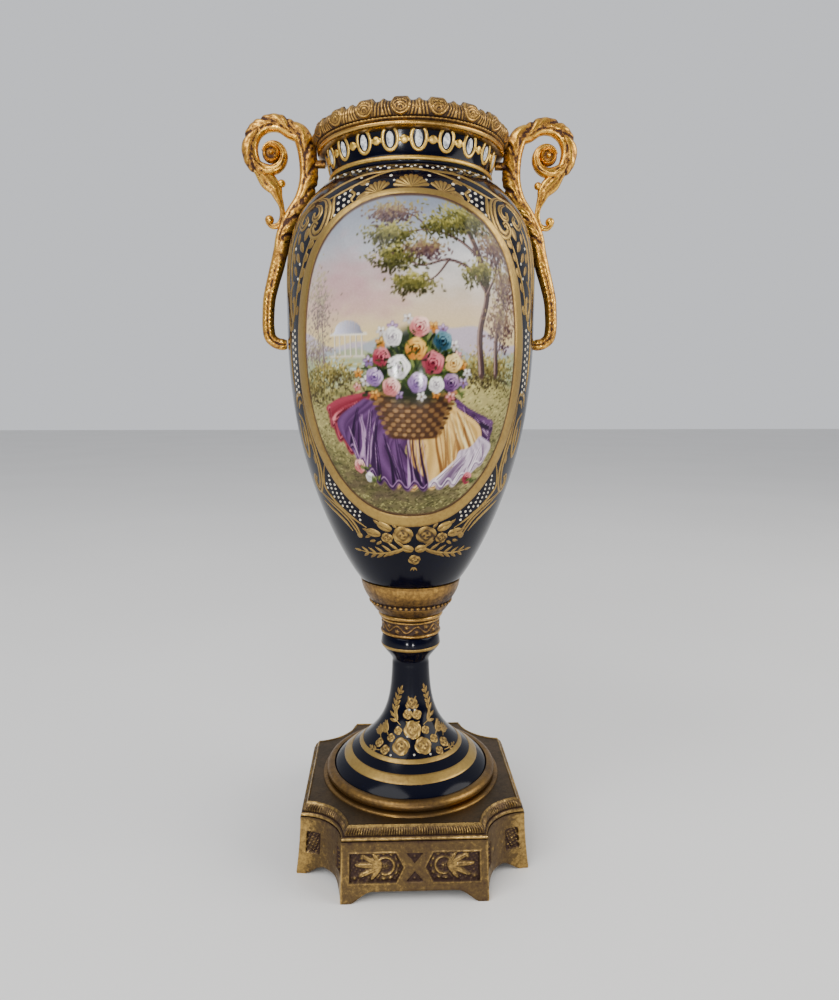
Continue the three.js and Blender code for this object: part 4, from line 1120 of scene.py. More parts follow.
def foot_radius(z):
    h = np.asarray(z, float) - FOOT_BOTTOM
    trumpet = WAIST + TRUMPET_SPREAD * np.exp(-(np.maximum(h - FOOT_LIP, 0) / 21.2) ** 1.37)
    knop = mix(WAIST, KNOP_RADIUS, smooth((h - KNOP_LOW) / (KNOP_MIDDLE - KNOP_LOW)))
    top = mix(KNOP_RADIUS, 17.6, np.clip((h - KNOP_MIDDLE) / 6.4, 0, 1) ** 1.6)
    return np.where(h < KNOP_LOW, trumpet, np.where(h < KNOP_MIDDLE, knop, top))


foot_skin = Surface(foot_radius)


def porcelain_foot():
    """The trumpet foot with its knop, hollow below."""
    lip = np.linspace(0.3, FOOT_LIP, 4)
    trumpet = FOOT_LIP + TRUMPET_HEIGHT * shares(60)[1:] ** 1.2
    knop = KNOP_LOW + 18.6 * shares(24)[1:]
    outside = [(foot_radius(z), z) for z in FOOT_BOTTOM + np.concatenate([lip, trumpet, knop])]
    hollow = FOOT_BOTTOM + TRUMPET_HEIGHT * (1 - shares(24)[1:]) ** 1.2
    inside = [(foot_radius(z + FOOT_WALL) - FOOT_WALL, z) for z in hollow]
    profile = [
        (AXIS, FOOT_BOTTOM + 78.5), (7.3, FOOT_BOTTOM + KNOP_LOW), *inside, (45.2, FOOT_BOTTOM),
        (49.2, FOOT_BOTTOM), *outside, (17.2, FOOT_TOP), (AXIS, FOOT_TOP),
    ]
    build = Build()
    build.grid(turned_grid(profile, 128), is_ring=True)
    build.make("fine_foot", COBALT, "porcelain_foot", "cobalt_porcelain", sharp=60)


# Handles, drawn in the XZ plane with x measured outward from the urn's axis

VOLUTE_EYE = (80.9, RIM_BOTTOM + 2.7)
LOOP_MIDDLE = (78.75, RIM_BOTTOM + 5.05)
LOOP_REACH = 19.2
HOOK_Z = BODY_BOTTOM + 143.5
SHOULDER_Z = NECK_BOTTOM - 27.4
TIP_Z = NECK_BOTTOM - 21.4
TIP_X = float(shell_radius(TIP_Z)) + 10.8
LUG_Z = RIM_BOTTOM - 2.9
LUG_RADIUS = 2.3

# Station numbers where the carving of the bar changes

ARM_END = 8.6
LEAVES_START = 8.8
VOLUTE_START = 25.2


def polar(middle, reach, angle):
    return middle[0] + reach * math.cos(angle), middle[1] + reach * math.sin(angle)


def bar_stations():
    """Places along the bar, from its hook on the belly to the volute's end: x, z, width and depth."""
    belly = BELLY + 0.3
    stations = [
        (belly + 0.4, HOOK_Z, 5.4, 5.3), (belly + 2.5, HOOK_Z, 6.8, 6.6),
        (belly + 6.4, HOOK_Z + 0.8, 6.9, 6.6),
        (belly + 10.1, HOOK_Z + 4, 7.2, 6.6), (belly + 11.2, HOOK_Z + 10, 7.3, 6.6),
    ]
    for out, climb, width, depth in (
        (11, 0.283, 7.3, 6.6), (10.2, 0.417, 7.6, 7.0), (7.8, 0.567, 8.0, 7.5), (5, 0.717, 8.7, 7.9),
    ):
        stations.append((belly + out, mix(HOOK_Z, SHOULDER_Z, climb), width, depth))
    for z, out, width in (
        (mix(HOOK_Z, SHOULDER_Z, 0.866), 5.1, 9.1), (SHOULDER_Z, 5.5, 9.4), (NECK_BOTTOM - 16.5, 5.5, 9.9),
    ):
        stations.append((float(shell_radius(z)) + out, z, width, 8.6))
    for x, rise, width in (
        (63.1, -7.4, 10.3), (60.0, 2.6, 10.7), (59.7, 12, 10.7), (61.0, 21.4, 10.7), (63.9, 28.4, 10.5),
    ):
        stations.append((x, NECK_BOTTOM + rise, width, 8.6))
    for degrees, width, depth in (
        (132, 10, 8.6), (108, 9.8, 8.4), (84, 9.6, 8.3), (60, 9.4, 8.1), (36, 9.3, 7.9),
        (12, 9.4, 7.9), (-10, 9.3, 7.9),
    ):
        stations.append((*polar(LOOP_MIDDLE, LOOP_REACH - width / 2, math.radians(degrees)), width, depth))
    stations.append((VOLUTE_EYE[0] + 9.2, VOLUTE_EYE[1] - 6.8, 8.2, 8.0))
    for share in shares(10):
        width = mix(6.6, 2.2, share)
        reach = mix(6.1, 12.6, (1 - share) ** 1.4) - width / 2
        place = polar(VOLUTE_EYE, reach, math.radians(-78 - 268 * share))
        stations.append((*place, width, mix(8, 6.4, share)))
    return stations


def leaf_carving(left, face, along):
    """Overlapping leaves of uneven length beside a grooved edge: their height and their patina."""
    uneven = along + 1.7 * np.sin(along / 6.1) + 0.9 * np.sin(along / 2.9 + 1)
    lobe = (uneven / 13.5 - 0.85 * left + 0.35 * left ** 2) % 1
    cut = ridge(np.minimum(lobe, 1 - lobe), 0.075) * smooth((left + 0.55) / 0.5)
    swell = np.sin(math.pi * lobe) ** 0.6
    veins = np.cos(lobe * 19 + left * 3)
    leafy = smooth((left + 0.4) / 0.1)
    edge = ridge(left + 0.42, 0.12) * face
    lift = leafy * (0.45 * swell - 0.6 * cut + 0.13 * veins - 0.05) - 0.6 * edge + 0.15 * (1 - leafy)
    return lift, leafy * (cut + 0.45 * (1 - swell) + 0.22 * (1 - veins)) + edge


def bar_relief(station, angle, along):
    """Carving of the bar, its height and patina, from a station number, the angle round it and mm along."""
    left = np.cos(angle)
    face = np.abs(np.sin(angle))
    arm = smooth((ARM_END - station) / 0.8)
    bar = smooth((station - LEAVES_START) / 0.8) * smooth((VOLUTE_START - station) / 0.8)
    volute = smooth((station - VOLUTE_START) / 0.8)
    channel = ridge(left, 0.16) * face
    beads = ripple(along * 2.4) * ridge(np.abs(left) - 0.45, 0.2) * face
    rings = (ridge(left - 0.38, 0.13) + ridge(left + 0.38, 0.13)) * face
    leaves, leaf_hollow = leaf_carving(left, face, along)
    lift = arm * (0.2 * beads - 0.55 * channel + 0.1) + bar * leaves - volute * 0.45 * rings - 0.15
    hollow = arm * (0.3 + 0.6 * channel - 0.35 * beads) + bar * leaf_hollow + volute * 0.95 * rings
    hollow = hollow + 0.55 * ridge(station - ARM_END, 0.35) + 0.3 * ridge(np.abs(left) - 1, 0.05)
    return lift, np.clip(hollow, 0, 1)


def scroll_relief(station, angle, along):
    """Carving of the small scroll: a ribbed leaf that narrows to a grooved stem."""
    left = np.cos(angle)
    face = np.abs(np.sin(angle))
    broad = smooth((5 - station) / 1.5)
    ribs = np.cos(left * 8.5) * face * broad
    groove = ridge(left, 0.25) * face * (1 - broad)
    return 0.35 * ribs - 0.35 * groove - 0.2, np.clip(0.1 - 0.7 * ribs + 0.5 * groove, 0, 1)


def swept(build, stations, sides, count, relief):
    """A bar of oval section that follows its stations and is carved by a relief, closed at both ends."""
    line = spline(stations, count)
    step = np.gradient(line[:, :2], axis=0)
    length = np.linalg.norm(step, axis=1)
    step = step / length[:, None]
    angle = circle(sides)
    station = np.linspace(0, len(stations) - 1, count)[:, None]
    lift, hollow = relief(station, angle[None, :], np.cumsum(length)[:, None])
    from_end = np.minimum(np.arange(count), count - 1 - np.arange(count))
    lift = lift * smooth(from_end / 4)[:, None]
    across = (line[:, 2:3] / 2 + lift) * np.cos(angle)
    deep = (line[:, 3:4] / 2 + lift) * np.sin(angle)
    points = np.stack([line[:, :1] - step[:, 1:2] * across, deep, line[:, 1:2] + step[:, :1] * across], -1)
    build.grid(points, is_ring=True, hollow=hollow)
    for row, faces in ((points[0], fan_faces(sides)[:, ::-1]), (points[-1], fan_faces(sides))):
        build.add(np.vstack([row, row.mean(0)]), faces, 0.3)


def ball(build, middle, radius, depth, sides=20, hollow=0.1):
    """A round boss in the handle's plane, with its own half depth."""
    around = circle(sides)
    rise = np.linspace(-math.pi / 2, math.pi / 2, 12)[:, None]
    reach = radius * np.cos(rise)
    build.grid(np.stack([
        middle[0] + reach * np.cos(around),
        depth * np.sin(rise) + 0 * around,
        middle[1] + reach * np.sin(around),
    ], -1), is_ring=True, hollow=hollow)


def volute_eye(build):
    """A dark boss, a raised ring and a button."""
    ball(build, VOLUTE_EYE, 5.5, 2.8, 28, 0.75)
    around = circle(36)[:, None]
    section = circle(12)
    reach = 3.9 + 1.05 * np.cos(section)
    x, z = VOLUTE_EYE
    build.grid(np.stack([
        x + reach * np.cos(around), 3.7 * np.sin(section) + 0 * around, z + reach * np.sin(around),
    ], -1), is_ring=True, is_loop=True, hollow=0.45 - 0.4 * np.abs(np.sin(section)))
    ball(build, VOLUTE_EYE, 1.9, 4.4)


def small_scroll(build):
    """The leaf that hangs from the volute and ends in a curl over the shoulder."""
    x, z = VOLUTE_EYE
    swept(build, [
        (x + 9, z - 8.5, 5, 5), (x + 3, z - 14.6, 10.2, 5.5), (x - 1.5, z - 19.5, 8.6, 5),
        (x - 3, z - 23.6, 6, 4),
        (TIP_X - 1.4, TIP_Z + 10.2, 3.8, 3.4), (TIP_X - 1.8, TIP_Z + 4.7, 3.7, 3.4), (TIP_X, TIP_Z, 3.9, 3.5),
        (TIP_X + 4.2, TIP_Z - 1.2, 3.6, 3.5), (TIP_X + 7, TIP_Z + 1.2, 3, 3.5),
    ], 28, 180, scroll_relief)
    ball(build, (TIP_X + 5.8, TIP_Z + 2.4), 2.7, 2.7)
    ball(build, (x - 5.4, z - 16.4), 2.3, 2.3)


def lug(build):
    """The peg that meets the neck under the rim."""
    around = circle(20)
    x = np.array([49.9, 59.0])[:, None]
    build.grid(np.stack([
        x + 0 * around, LUG_RADIUS * np.cos(around) + 0 * x, LUG_Z + LUG_RADIUS * np.sin(around) + 0 * x,
    ], -1), is_ring=True, hollow=0.6)


def handle(name, node, is_left):
    build = Build()
    swept(build, bar_stations(), 40, 780, bar_relief)
    volute_eye(build)
    small_scroll(build)
    lug(build)
    if is_left:
        build.points = [points * [-1, -1, 1] for points in build.points]
    build.make(name, BRIGHT, node, "bright_gilt_bronze", sharp=60)


# Plinth

BLOCK_HEIGHT = 36.4
PLINTH_TOP = BLOCK_HEIGHT + 8.1
PLATE_TOP = PLINTH_TOP - 0.6
PLINTH_WALL = 3.6
CORNER_MIDDLE = 68
CORNER_RADIUS = 26
FLARE = 3.2
SIDE_HALF = 42.9
CORNER_LENGTH = 42.6
SIDE_SAMPLES = 170
CORNER_SAMPLES = 52
QUARTER_SAMPLES = SIDE_SAMPLES + CORNER_SAMPLES
PANEL_Z = 20.8
PANEL_HALF_HEIGHT = 8.5
TONGUE_PITCH = 1.55

# Leaves of a side panel: turn, length and width

PANEL_LEAVES = ((0.05, 16, 4.2), (0.5, 14.5, 4), (-0.42, 15, 4), (0.98, 9.5, 3.4), (-0.9, 10, 3.4))

# The lip over the block: height, inset and patina

LIP_ROWS = (
    (0.0, 0.9, 1.0), (0.25, 0.6, 0.5), (0.8, 0.3, 0.1), (1.5, 0.3, 0.1), (2.2, 0.6, 0.25), (2.6, 1.2, 0.8),
    (2.7, 2.0, 1.0),
)


def plinth_row(z, inset, relief=0.0, level=None):
    """One turn of the plinth's plan; z, inset and relief may differ from place to place along it."""
    z = z + np.zeros(4 * QUARTER_SAMPLES)
    inset = inset + 0 * z
    relief = relief + 0 * z
    flare = FLARE * (1 - np.clip(z / BLOCK_HEIGHT, 0, 1)) ** 1.6
    centre = CORNER_MIDDLE + flare
    radius = CORNER_RADIUS + 0.7 * flare + inset
    start = np.arcsin(inset / radius)
    reach = np.sqrt(radius ** 2 - inset ** 2)
    side = np.arange(SIDE_SAMPLES) / SIDE_SAMPLES * 2 - 1
    corner = np.arange(CORNER_SAMPLES) / CORNER_SAMPLES
    points = np.zeros((len(z), 3))
    for quarter in range(4):
        first = quarter * QUARTER_SAMPLES
        flat = slice(first, first + SIDE_SAMPLES)
        arc = slice(first + SIDE_SAMPLES, first + QUARTER_SAMPLES)
        angle = mix(start[arc], math.pi / 2 - start[arc], corner)
        out = radius[arc] - relief[arc]
        x = np.concatenate([side * (centre - reach)[flat], centre[arc] - out * np.cos(angle)])
        y = np.concatenate([(inset - centre - relief)[flat], out * np.sin(angle) - centre[arc]])
        turned = rotate(x, y, quarter * math.pi / 2)
        points[first:first + QUARTER_SAMPLES, :2] = np.stack(turned, -1)
    points[:, 2] = z if level is None else level
    return points


def plinth_along():
    """For each place along the plan: mm from the side's middle or the corner's middle, and which it is."""
    side = (np.arange(SIDE_SAMPLES) / SIDE_SAMPLES * 2 - 1) * SIDE_HALF
    corner = (np.arange(CORNER_SAMPLES) / CORNER_SAMPLES - 0.5) * CORNER_LENGTH
    along = np.tile(np.concatenate([side, corner]), 4)
    return along, np.tile(np.arange(QUARTER_SAMPLES) >= SIDE_SAMPLES, 4)


def lens(x, y, turn, length, width):
    """A leaf that grows from the middle: one high along its length, nothing outside."""
    along, across = rotate(x, y, -turn)
    along, across = along / length, across / width
    half = np.sqrt(np.clip(4 * along * (1 - along), 0, 1)) / 2
    inside = np.clip(1 - np.abs(across) / np.maximum(half, 1e-3), 0, 1) * ((along > 0) & (along < 1))
    return np.sqrt(inside) - 0.35 * ridge(across, 0.09) * (inside > 0)


def side_relief(along, z):
    """Sunk panels with a scroll, a rosette and a fan of leaves, and a strap between them."""
    x = 22.4 - np.abs(along)
    y = z - PANEL_Z
    to_edge = PANEL_HALF_HEIGHT - np.abs(y)
    depth_in = np.minimum(np.minimum(x + 15.4, to_edge), 11.4 + 0.5 * to_edge - x)
    reach = np.hypot(x - 5.4, y - 0.6)
    angle = np.arctan2(y - 0.6, x - 5.4)
    scroll = 1.1 * ridge(reach - 5.0, 0.85) * smooth((2.6 - np.abs(angle - 0.3)) / 0.5)
    rosette = 1.2 * ridge(reach, 1.9) * (0.7 + 0.3 * np.cos(5 * angle))
    studs = 1.05 * ridge(reach - 7.4, 0.9) * ripple(11 * angle) ** 0.7 * (np.abs(angle) < 2.2)
    leaves = [1.3 * lens(3.2 - x, y - 0.6, *leaf) for leaf in PANEL_LEAVES]
    buds = 1.1 * ridge(np.hypot(x + 8.4, y - 5.6), 1.3) + 0.9 * ridge(np.hypot(x + 12.4, y + 6.2), 1.2)
    fill = 0.45 * np.clip(np.cos(1.9 * x + 0.7 * y) * np.cos(2.3 * y - 0.5 * x) + 0.2, 0, 1)
    carving = np.maximum.reduce([scroll, rosette, studs, *leaves, buds, fill])
    panel = carving * smooth(depth_in) - 1.5 * smooth(depth_in / 0.5) + 0.25 * ridge(depth_in + 0.5, 0.45)
    triangle = np.minimum(5.2 - np.abs(along) - to_edge * 0.85, to_edge)
    bloom = ridge(np.hypot(along, np.abs(y) - 6.4), 1.0)
    strap = 0.7 * bloom - smooth(triangle / 0.5)
    strap_hollow = 0.85 * smooth(triangle / 0.4) * (1 - bloom)
    hollow = np.where(depth_in > 0, np.clip(1.05 - 0.95 * carving, 0, 1), strap_hollow)
    rubbed = 0.45 * ridge(SIDE_HALF - np.abs(along), 0.9) + 0.3 * ridge(depth_in + 0.7, 0.4)
    hollow = hollow + 0.42 * (depth_in < 0) - rubbed + 0.25 * ridge(depth_in + 0.1, 0.3)
    return np.where(depth_in > -1.2, panel, strap), hollow


def corner_relief(along, z):
    """Two small square panels filled with foliage, and a stud inside each."""
    x = np.abs(along) - 12.6
    y = z - PANEL_Z
    inside = np.minimum(4.6 - np.abs(x), 6.6 - np.abs(y))
    lip = 0.3 * ridge(inside + 0.5, 0.4)
    foliage = (np.cos(x * 1.45 + 0.6 * y) * np.cos(y * 1.3 - 0.5 * x)) ** 2
    boss = 1.1 * foliage + 0.35 * ridge(np.hypot(x, y), 2.0)
    stud = 0.8 * ridge(np.hypot(np.abs(along) - 4.8, y), 0.95)
    carving = boss * smooth(inside)
    # Outside the panels the corner is darker towards its middle: painted shade in the hollow of the concave
    # corner.
    plain = mix(0.42, 0.06, smooth((np.abs(along) - 7) / 14)) - 0.4 * stud
    hollow = np.where(inside > 0, np.clip(1 - 0.9 * carving, 0, 1), plain)
    return carving + lip + stud - 1.3 * smooth(inside / 0.5), hollow


def apron(along, is_corner):
    """Height of the apron's lower edge, which sweeps up from two bracket feet."""
    half = np.where(is_corner, 22.0, SIDE_HALF)
    rise = np.clip((half - np.abs(along) - 5.4) / 12.5, 0, 1)
    return 6.8 * smooth(rise) ** 0.75


def plinth_underside(low):
    """Rows and patina of the hollow under the plinth, from the middle of its ceiling to the apron's edge."""
    for share in (0.0, 0.3, 0.62, 1.0):
        plan = plinth_row(BLOCK_HEIGHT, 7.6, level=PLATE_TOP - 4)
        plan[:, :2] *= share + 1e-4
        yield plan, 0.9
    for share in (1.0, 0.75, 0.5, 0.25, 0.0):
        yield plinth_row(mix(low, BLOCK_HEIGHT - PLINTH_WALL, share), PLINTH_WALL), 0.9
    for inset in (2.4, 1.2):
        yield plinth_row(low, inset), 0.6


def plinth_sides(low, along, is_corner):
    """Rows and patina of the panelled sides and corners, from the apron's edge up."""
    for share in shares(64):
        z = mix(low, BLOCK_HEIGHT, share)
        on_side, side_hollow = side_relief(along, z)
        on_corner, corner_hollow = corner_relief(along, z)
        relief = np.where(is_corner, on_corner, on_side) * (share < 0.985)
        hollow = np.where(is_corner, corner_hollow, side_hollow) + 0.3 * ridge(1 - share, 0.03)
        yield plinth_row(z, 0.35 * ridge(share, 0.02), relief), hollow


def plinth_moulding(along):
    """Rows and patina of the lip, the tongues over it and the square top edge."""
    for height, inset, hollow in LIP_ROWS:
        yield plinth_row(BLOCK_HEIGHT, inset, level=BLOCK_HEIGHT + height), hollow
    for share in shares(12):
        inset = 1.9 + 0.3 * share + 2.0 * smooth(share) ** 1.3 - 0.5 * math.sin(math.pi * share)
        deep = 0.42 * math.sin(math.pi * min(share * 1.3, 1)) ** 0.5
        tongues = deep * np.cos(2 * math.pi * along / TONGUE_PITCH)
        hollow = np.clip(0.45 - 0.9 * tongues, 0, 1) if share < 0.8 else 0.15
        yield plinth_row(BLOCK_HEIGHT, inset, tongues, BLOCK_HEIGHT + 2.75 + 5.35 * share), hollow
    yield plinth_row(BLOCK_HEIGHT, 4.4, level=PLINTH_TOP), 0.1
    yield plinth_row(BLOCK_HEIGHT, 5.0, level=PLATE_TOP), 0.5


def plinth():
    """The square casting on bracket feet."""
    along, is_corner = plinth_along()
    low = apron(along, is_corner)
    rows = [*plinth_underside(low), *plinth_sides(low, along, is_corner), *plinth_moulding(along)]
    hollow = np.stack([hollow + 0 * along for _, hollow in rows])
    build = Build()
    build.grid(np.stack([plan for plan, _ in rows]), is_ring=True, hollow=hollow)
    build.make("fine_plinth", BROWNED, "plinth", "antique_gilt_bronze", sharp=40)


def plinth_plate():
    """The plate a little below the plinth's top edge, from the square in to the ring."""
    edge = plinth_row(BLOCK_HEIGHT, 4.95, level=PLATE_TOP - 0.02)
    turn = np.arctan2(edge[:, 1], edge[:, 0])
    inner = np.stack([57.2 * np.cos(turn), 57.2 * np.sin(turn), PLATE_TOP + 0 * turn], -1)
    build = Build()
    build.grid(np.stack([mix(edge, inner, share) for share in shares(8)]), is_ring=True)
    build.make("plinth_plate", DARK_PLATE, slot="antique_gilt_bronze")


def foot_ring():
    """The turned ring that holds the porcelain foot."""
    torus = [polar((51.5, 48.1), 3.3, angle) for angle in np.linspace(-1.15, 1.62, 22)]
    build = Build()
    build.grid(turned_grid([
        (AXIS, PLATE_TOP - 1.9), (57.4, PLATE_TOP - 1.9), (57.3, PLATE_TOP + 0.6), (56.7, PLATE_TOP + 1.2),
        (54.6, PLATE_TOP + 1.2), (53.4, PLATE_TOP + 1.1), *torus, (49.9, 51.2), (49.9, 45.1), (AXIS, 45.1),
    ], 220), is_ring=True)
    build.make("foot_ring", RING, slot="antique_gilt_bronze", sharp=60)


# Raised gilding and enamel on the body

BACK = 180
LINE_WEIGHT = 1.45
LEAF_LENGTH = 1.3
LEAF_WIDTH = 1.35
ORNAMENT_HEIGHT = 0.45

# Lines beside the oval on its right: degrees from its middle and mm high, width, ends and whether grooved

SIDE_LINES = (
    ([(-1, 403.6), (5, 403.2), (11, 402.4), (24.5, 401.2), (36.3, 397.1), (47.1, 391.8), (56, 389.6),
      (61, 384.6)], 1.5, (1, 0.5), False),
    ([(9, 402.3), (15, 400.6), (20.5, 398.2), (29.3, 394), (37.1, 390.4),
      (41.2, 389.2)], 1.2, (0.5, 0.5), False),
    ([(27, 395.1), (28.6, 392.4), (25.6, 389.6), (26.6, 386.8), (24.7, 384.6)], 1.2, (0.4, 0.4), False),
    ([(37.2, 390.3), (36.2, 386), (35.2, 381.5), (35.6, 377.8)], 1.6, (0.6, 0.4), False),
    ([(48.5, 390.6), (43, 389.8), (39.8, 386.6), (38.4, 381.9), (39, 375.9), (41.4, 371.7), (44.8, 371),
      (47.2, 374.2), (45.8, 377.4), (43.6, 376)], 3.5, (0.3, 0.6), True),
    ([(48.5, 387.8), (44.6, 385.8), (43.2, 382.4), (44.8, 379.9), (47.4, 380.4),
      (48, 383.6)], 2.4, (0.4, 0.6), True),
    ([(50.5, 388.6), (56.5, 385), (58.5, 380), (55, 377), (52, 379.6), (54, 382.4)], 2.5, (0.4, 0.7), True),
    ([(53, 390), (60.8, 385), (65, 376), (67, 363), (67.8, 350), (67, 336)], 2.2, (0.4, 0.3), True),
    ([(58.5, 377), (62, 368), (63.4, 357), (62.8, 347)], 2.0, (0.3, 0.3), False),
    ([(71, 374), (72.6, 358), (72.6, 340)], 1.8, (0.3, 0.3), False),
    ([(46.6, 370.4), (49.2, 364), (51.8, 357), (55.4, 349), (58.4, 340),
      (59.6, 332)], 1.0, (0.5, 0.4), False),
    ([(60.4, 350), (64.2, 345.5), (65.2, 337), (63, 329.4), (61, 333.6), (61.2, 341),
      (62.8, 339)], 2.0, (0.5, 0.6), False),
    ([(68.4, 334), (67.4, 325), (64, 325.6), (63.8, 330)], 1.8, (0.3, 0.4), False),
    ([(68.4, 322), (68.2, 305), (67, 290)], 1.4, (0.4, 0.4), False),
    ([(59.2, 287.6), (62, 288.8), (65.6, 287), (67.8, 281.4)], 2.0, (0.4, 0.3), False),
    ([(60, 283.6), (62.4, 284), (64.6, 280.6)], 1.7, (0.4, 0.4), False),
    ([(66.6, 277.6), (62, 273.6), (60.6, 266), (61.8, 257), (64.6, 253), (67, 257), (68, 266),
      (66.8, 274)], 1.8, (0.6, 0.6), False),
    ([(63.8, 270), (63.4, 264), (64.4, 259)], 1.4, (0.4, 0.4), False),
    ([(59, 287.6), (58, 278), (56.8, 268), (55, 257), (54.6, 246), (57.8, 237.4), (62, 233.6),
      (65, 237), (63.4, 241.6), (61, 240)], 3.2, (0.3, 0.6), True),
    ([(48.2, 250.4), (51.8, 243.4), (54, 236), (48, 228.2), (40.4, 222), (33.8, 217.4),
      (28, 214)], 1.3, (0.4, 0.4), False),
    ([(61.4, 232), (52.8, 227.6), (46.2, 223.6), (39.8, 218.2), (36.2, 212.6),
      (35.2, 209.6)], 2.8, (0.4, 0.8), True),
    ([(61.4, 227), (53.2, 222.6), (45.2, 217), (40, 211)], 1.4, (0.4, 0.4), False),
)

# Leaves beside the oval: degrees, mm high, turn, length and width

SIDE_LEAVES = (
    (50.6, 372.8, -1.2, 6, 3.6), (46.8, 366.6, -0.5, 5.4, 3.2), (53.4, 366.6, -2.1, 5.6, 3.4),
    (50, 360.4, -0.7, 5.2, 3.2), (56.4, 361.4, -2.2, 5.4, 3), (52.4, 353, -0.8, 5, 3.2),
    (58.8, 355, -2.1, 5, 2.8), (55.4, 345.6, -0.9, 4.6, 2.8), (60.4, 362, -1.8, 5, 2.4),
    (56.8, 371.6, -1.6, 5, 2.6), (57.8, 334, -1.2, 4.4, 2.4), (70, 366, -1.6, 8, 2.4),
    (70.2, 350, -1.6, 8, 2.4), (58, 263, -1.5, 5, 1.8), (57.2, 252, -1.4, 5, 1.8),
)

# White dots beside the oval: degrees, mm high and radius

SIDE_DOTS = (
    (28.5, 392.1, 0.95), (31.2, 390.8, 1), (33.9, 389.3, 0.95), (27.9, 389, 0.95), (30.6, 387.4, 1.05),
    (33.4, 385.9, 1), (27.8, 385.8, 0.9), (29.9, 384, 1), (32.4, 382.4, 1), (33.8, 379.4, 0.9),
    (9.6, 399, 0.95), (7.6, 396, 0.7), (20.6, 394.6, 0.95), (23.9, 389.6, 0.95), (25.6, 399.4, 0.75),
    (59.4, 367, 0.9), (54.6, 358, 0.8), (56.4, 350.6, 0.8), (49.6, 377.6, 0.8),
)

# Leaves of the swag: degrees, mm high, turn and length

SWAG_LEAVES = (
    (31.4, 208.6, -0.5, 5), (31.8, 212.6, 0.3, 5), (24.2, 205, -0.6, 4.6), (28.6, 206, -0.2, 4.2),
    (12.6, 216.4, 0.9, 4.4), (23.4, 218, 0.7, 4.4),
)


class Side:
    """The right half (1) or left half (-1) of a design that is alike on both sides of its middle."""

    def __init__(self, sign, turn):
        self.sign = sign
        self.turn = turn

    def at(self, azimuth):
        return azimuth * self.sign + self.turn

    def lean(self, angle):
        return angle if self.sign > 0 else math.pi - angle

    def path(self, points):
        return [(self.at(azimuth), z) for azimuth, z in points]


def both_sides(turn):
    return Side(1, turn), Side(-1, turn)


def dots_under_oval():
    """Rows of dots between the oval's lower edge and the scrolls beside it: degrees, mm high and radius."""
    levels = (214.6, 222.6, 228.6, 236, 243, 249.4)
    limits = (27.6, 40, 47.6, 53.4, 51, 47.6)
    for row, z in enumerate(np.arange(245.5, 213, -2.45)):
        first, count = (1.6, 5) if row % 2 else (3.4, 4)
        limit = float(np.interp(z, levels, limits)) - 1.2
        for azimuth in float(oval_azimuth(z)) + first + 3.6 * np.arange(count):
            if 29.5 < azimuth < limit:
                yield azimuth, z, 0.76


def shoulder_gilding(gold, white, turn, is_front):
    """Everything round the oval, right side and left side alike."""
    skin.fan(gold, turn + 0.5, NECK_BOTTOM - 17.6, 0, 9.6, 1.5, 9, 0.6)
    pairs = ((61.2, 323.5), (64.2, 321.8))
    dots = [(azimuth, z - 3.4 * index, 0.95) for index in range(11) for azimuth, z in pairs]
    if is_front:
        dots = [*dots, *SIDE_DOTS, *dots_under_oval()]
    for side in both_sides(turn):
        skin.fan(gold, side.at(14.2), 388.8, -side.sign * 0.4, 8.4, 1.2, 7, 0.5)
        skin.leaf(gold, side.at(20.8), 388.2, side.lean(math.pi / 2 + 0.95), 9.6, 4.8, 0.5)
        for lean in (-0.7, 0, 0.7):
            skin.leaf(gold, side.at(22.6 + lean * 1.8), 396.4 - abs(lean) * 1.4, -1.57 + lean,
                      4.8, 2.4, ORNAMENT_HEIGHT)
        for points, width, ends, is_grooved in SIDE_LINES:
            skin.stroke(gold, side.path(points), width * LINE_WEIGHT, ORNAMENT_HEIGHT, ends,
                        section=GROOVED_SECTION if is_grooved else ROUND_SECTION)
        for azimuth, z, lean, length, width in SIDE_LEAVES:
            skin.leaf(gold, side.at(azimuth), z, side.lean(lean), length * LEAF_LENGTH, width * LEAF_WIDTH,
                      ORNAMENT_HEIGHT)
        skin.dome(gold, side.at(35), 208.8, 2.0, 0.6)
        for azimuth, z, radius in dots:
            skin.dome(white, side.at(azimuth), z, radius, ORNAMENT_HEIGHT, sides=9, rings=3)


def swag(gold, turn):
    """The garland under the oval: roses, buds, leafy sprays and a hanging flower."""
    stem = spline([(6, 202.6), (16, 199.6), (28, 198), (41, 198.6)], 7)
    for side in both_sides(turn):
        skin.rose(gold, side.at(7.4), 210.6, 5.9, 0.9)
        for azimuth, z, lean in ((18.6, 215.4, 0.5), (26.8, 211.2, 0.2)):
            skin.bud(gold, side.at(azimuth), z, side.lean(lean), 9.4, 5.6, 0.8)
        skin.rose(gold, side.at(17.8), 208.4, 3.6, 0.8)
        for azimuth, z, lean, length in SWAG_LEAVES:
            skin.leaf(gold, side.at(azimuth), z, side.lean(lean), length, 2.1, ORNAMENT_HEIGHT)
        skin.bud(gold, side.at(4.4), 202, side.lean(0.35), 7, 5.4, 0.8)
        skin.stroke(gold, side.path(stem), 1.3, 0.35, (0.8, 0.5))
        for index, foot in enumerate(side.path(stem[:-1])):
            for lean in (0.72, -0.62):
                skin.leaflet(gold, foot, side.lean(lean), mix(8.4, 5.6, index / 5), 2.0, 0.4)
        skin.leaf(gold, side.at(44.5), 198.9, side.lean(0.1), 6, 2.0, 0.4)
    skin.rose(gold, turn + 0.3, 194.8, 3.6, 0.8)
    for lean in (-0.5, 0, 0.5):
        skin.leaf(gold, turn + lean * 3.4, 188.6, -1.57 + lean, 3.4, 1.1, 0.3)


NECK_OVALS = 20
NECK_OVAL_FIRST = 3.1
NECK_OVAL_Z = NECK_TOP - 3.4

# Dots under each oval: degrees from it, mm under the neck and radius

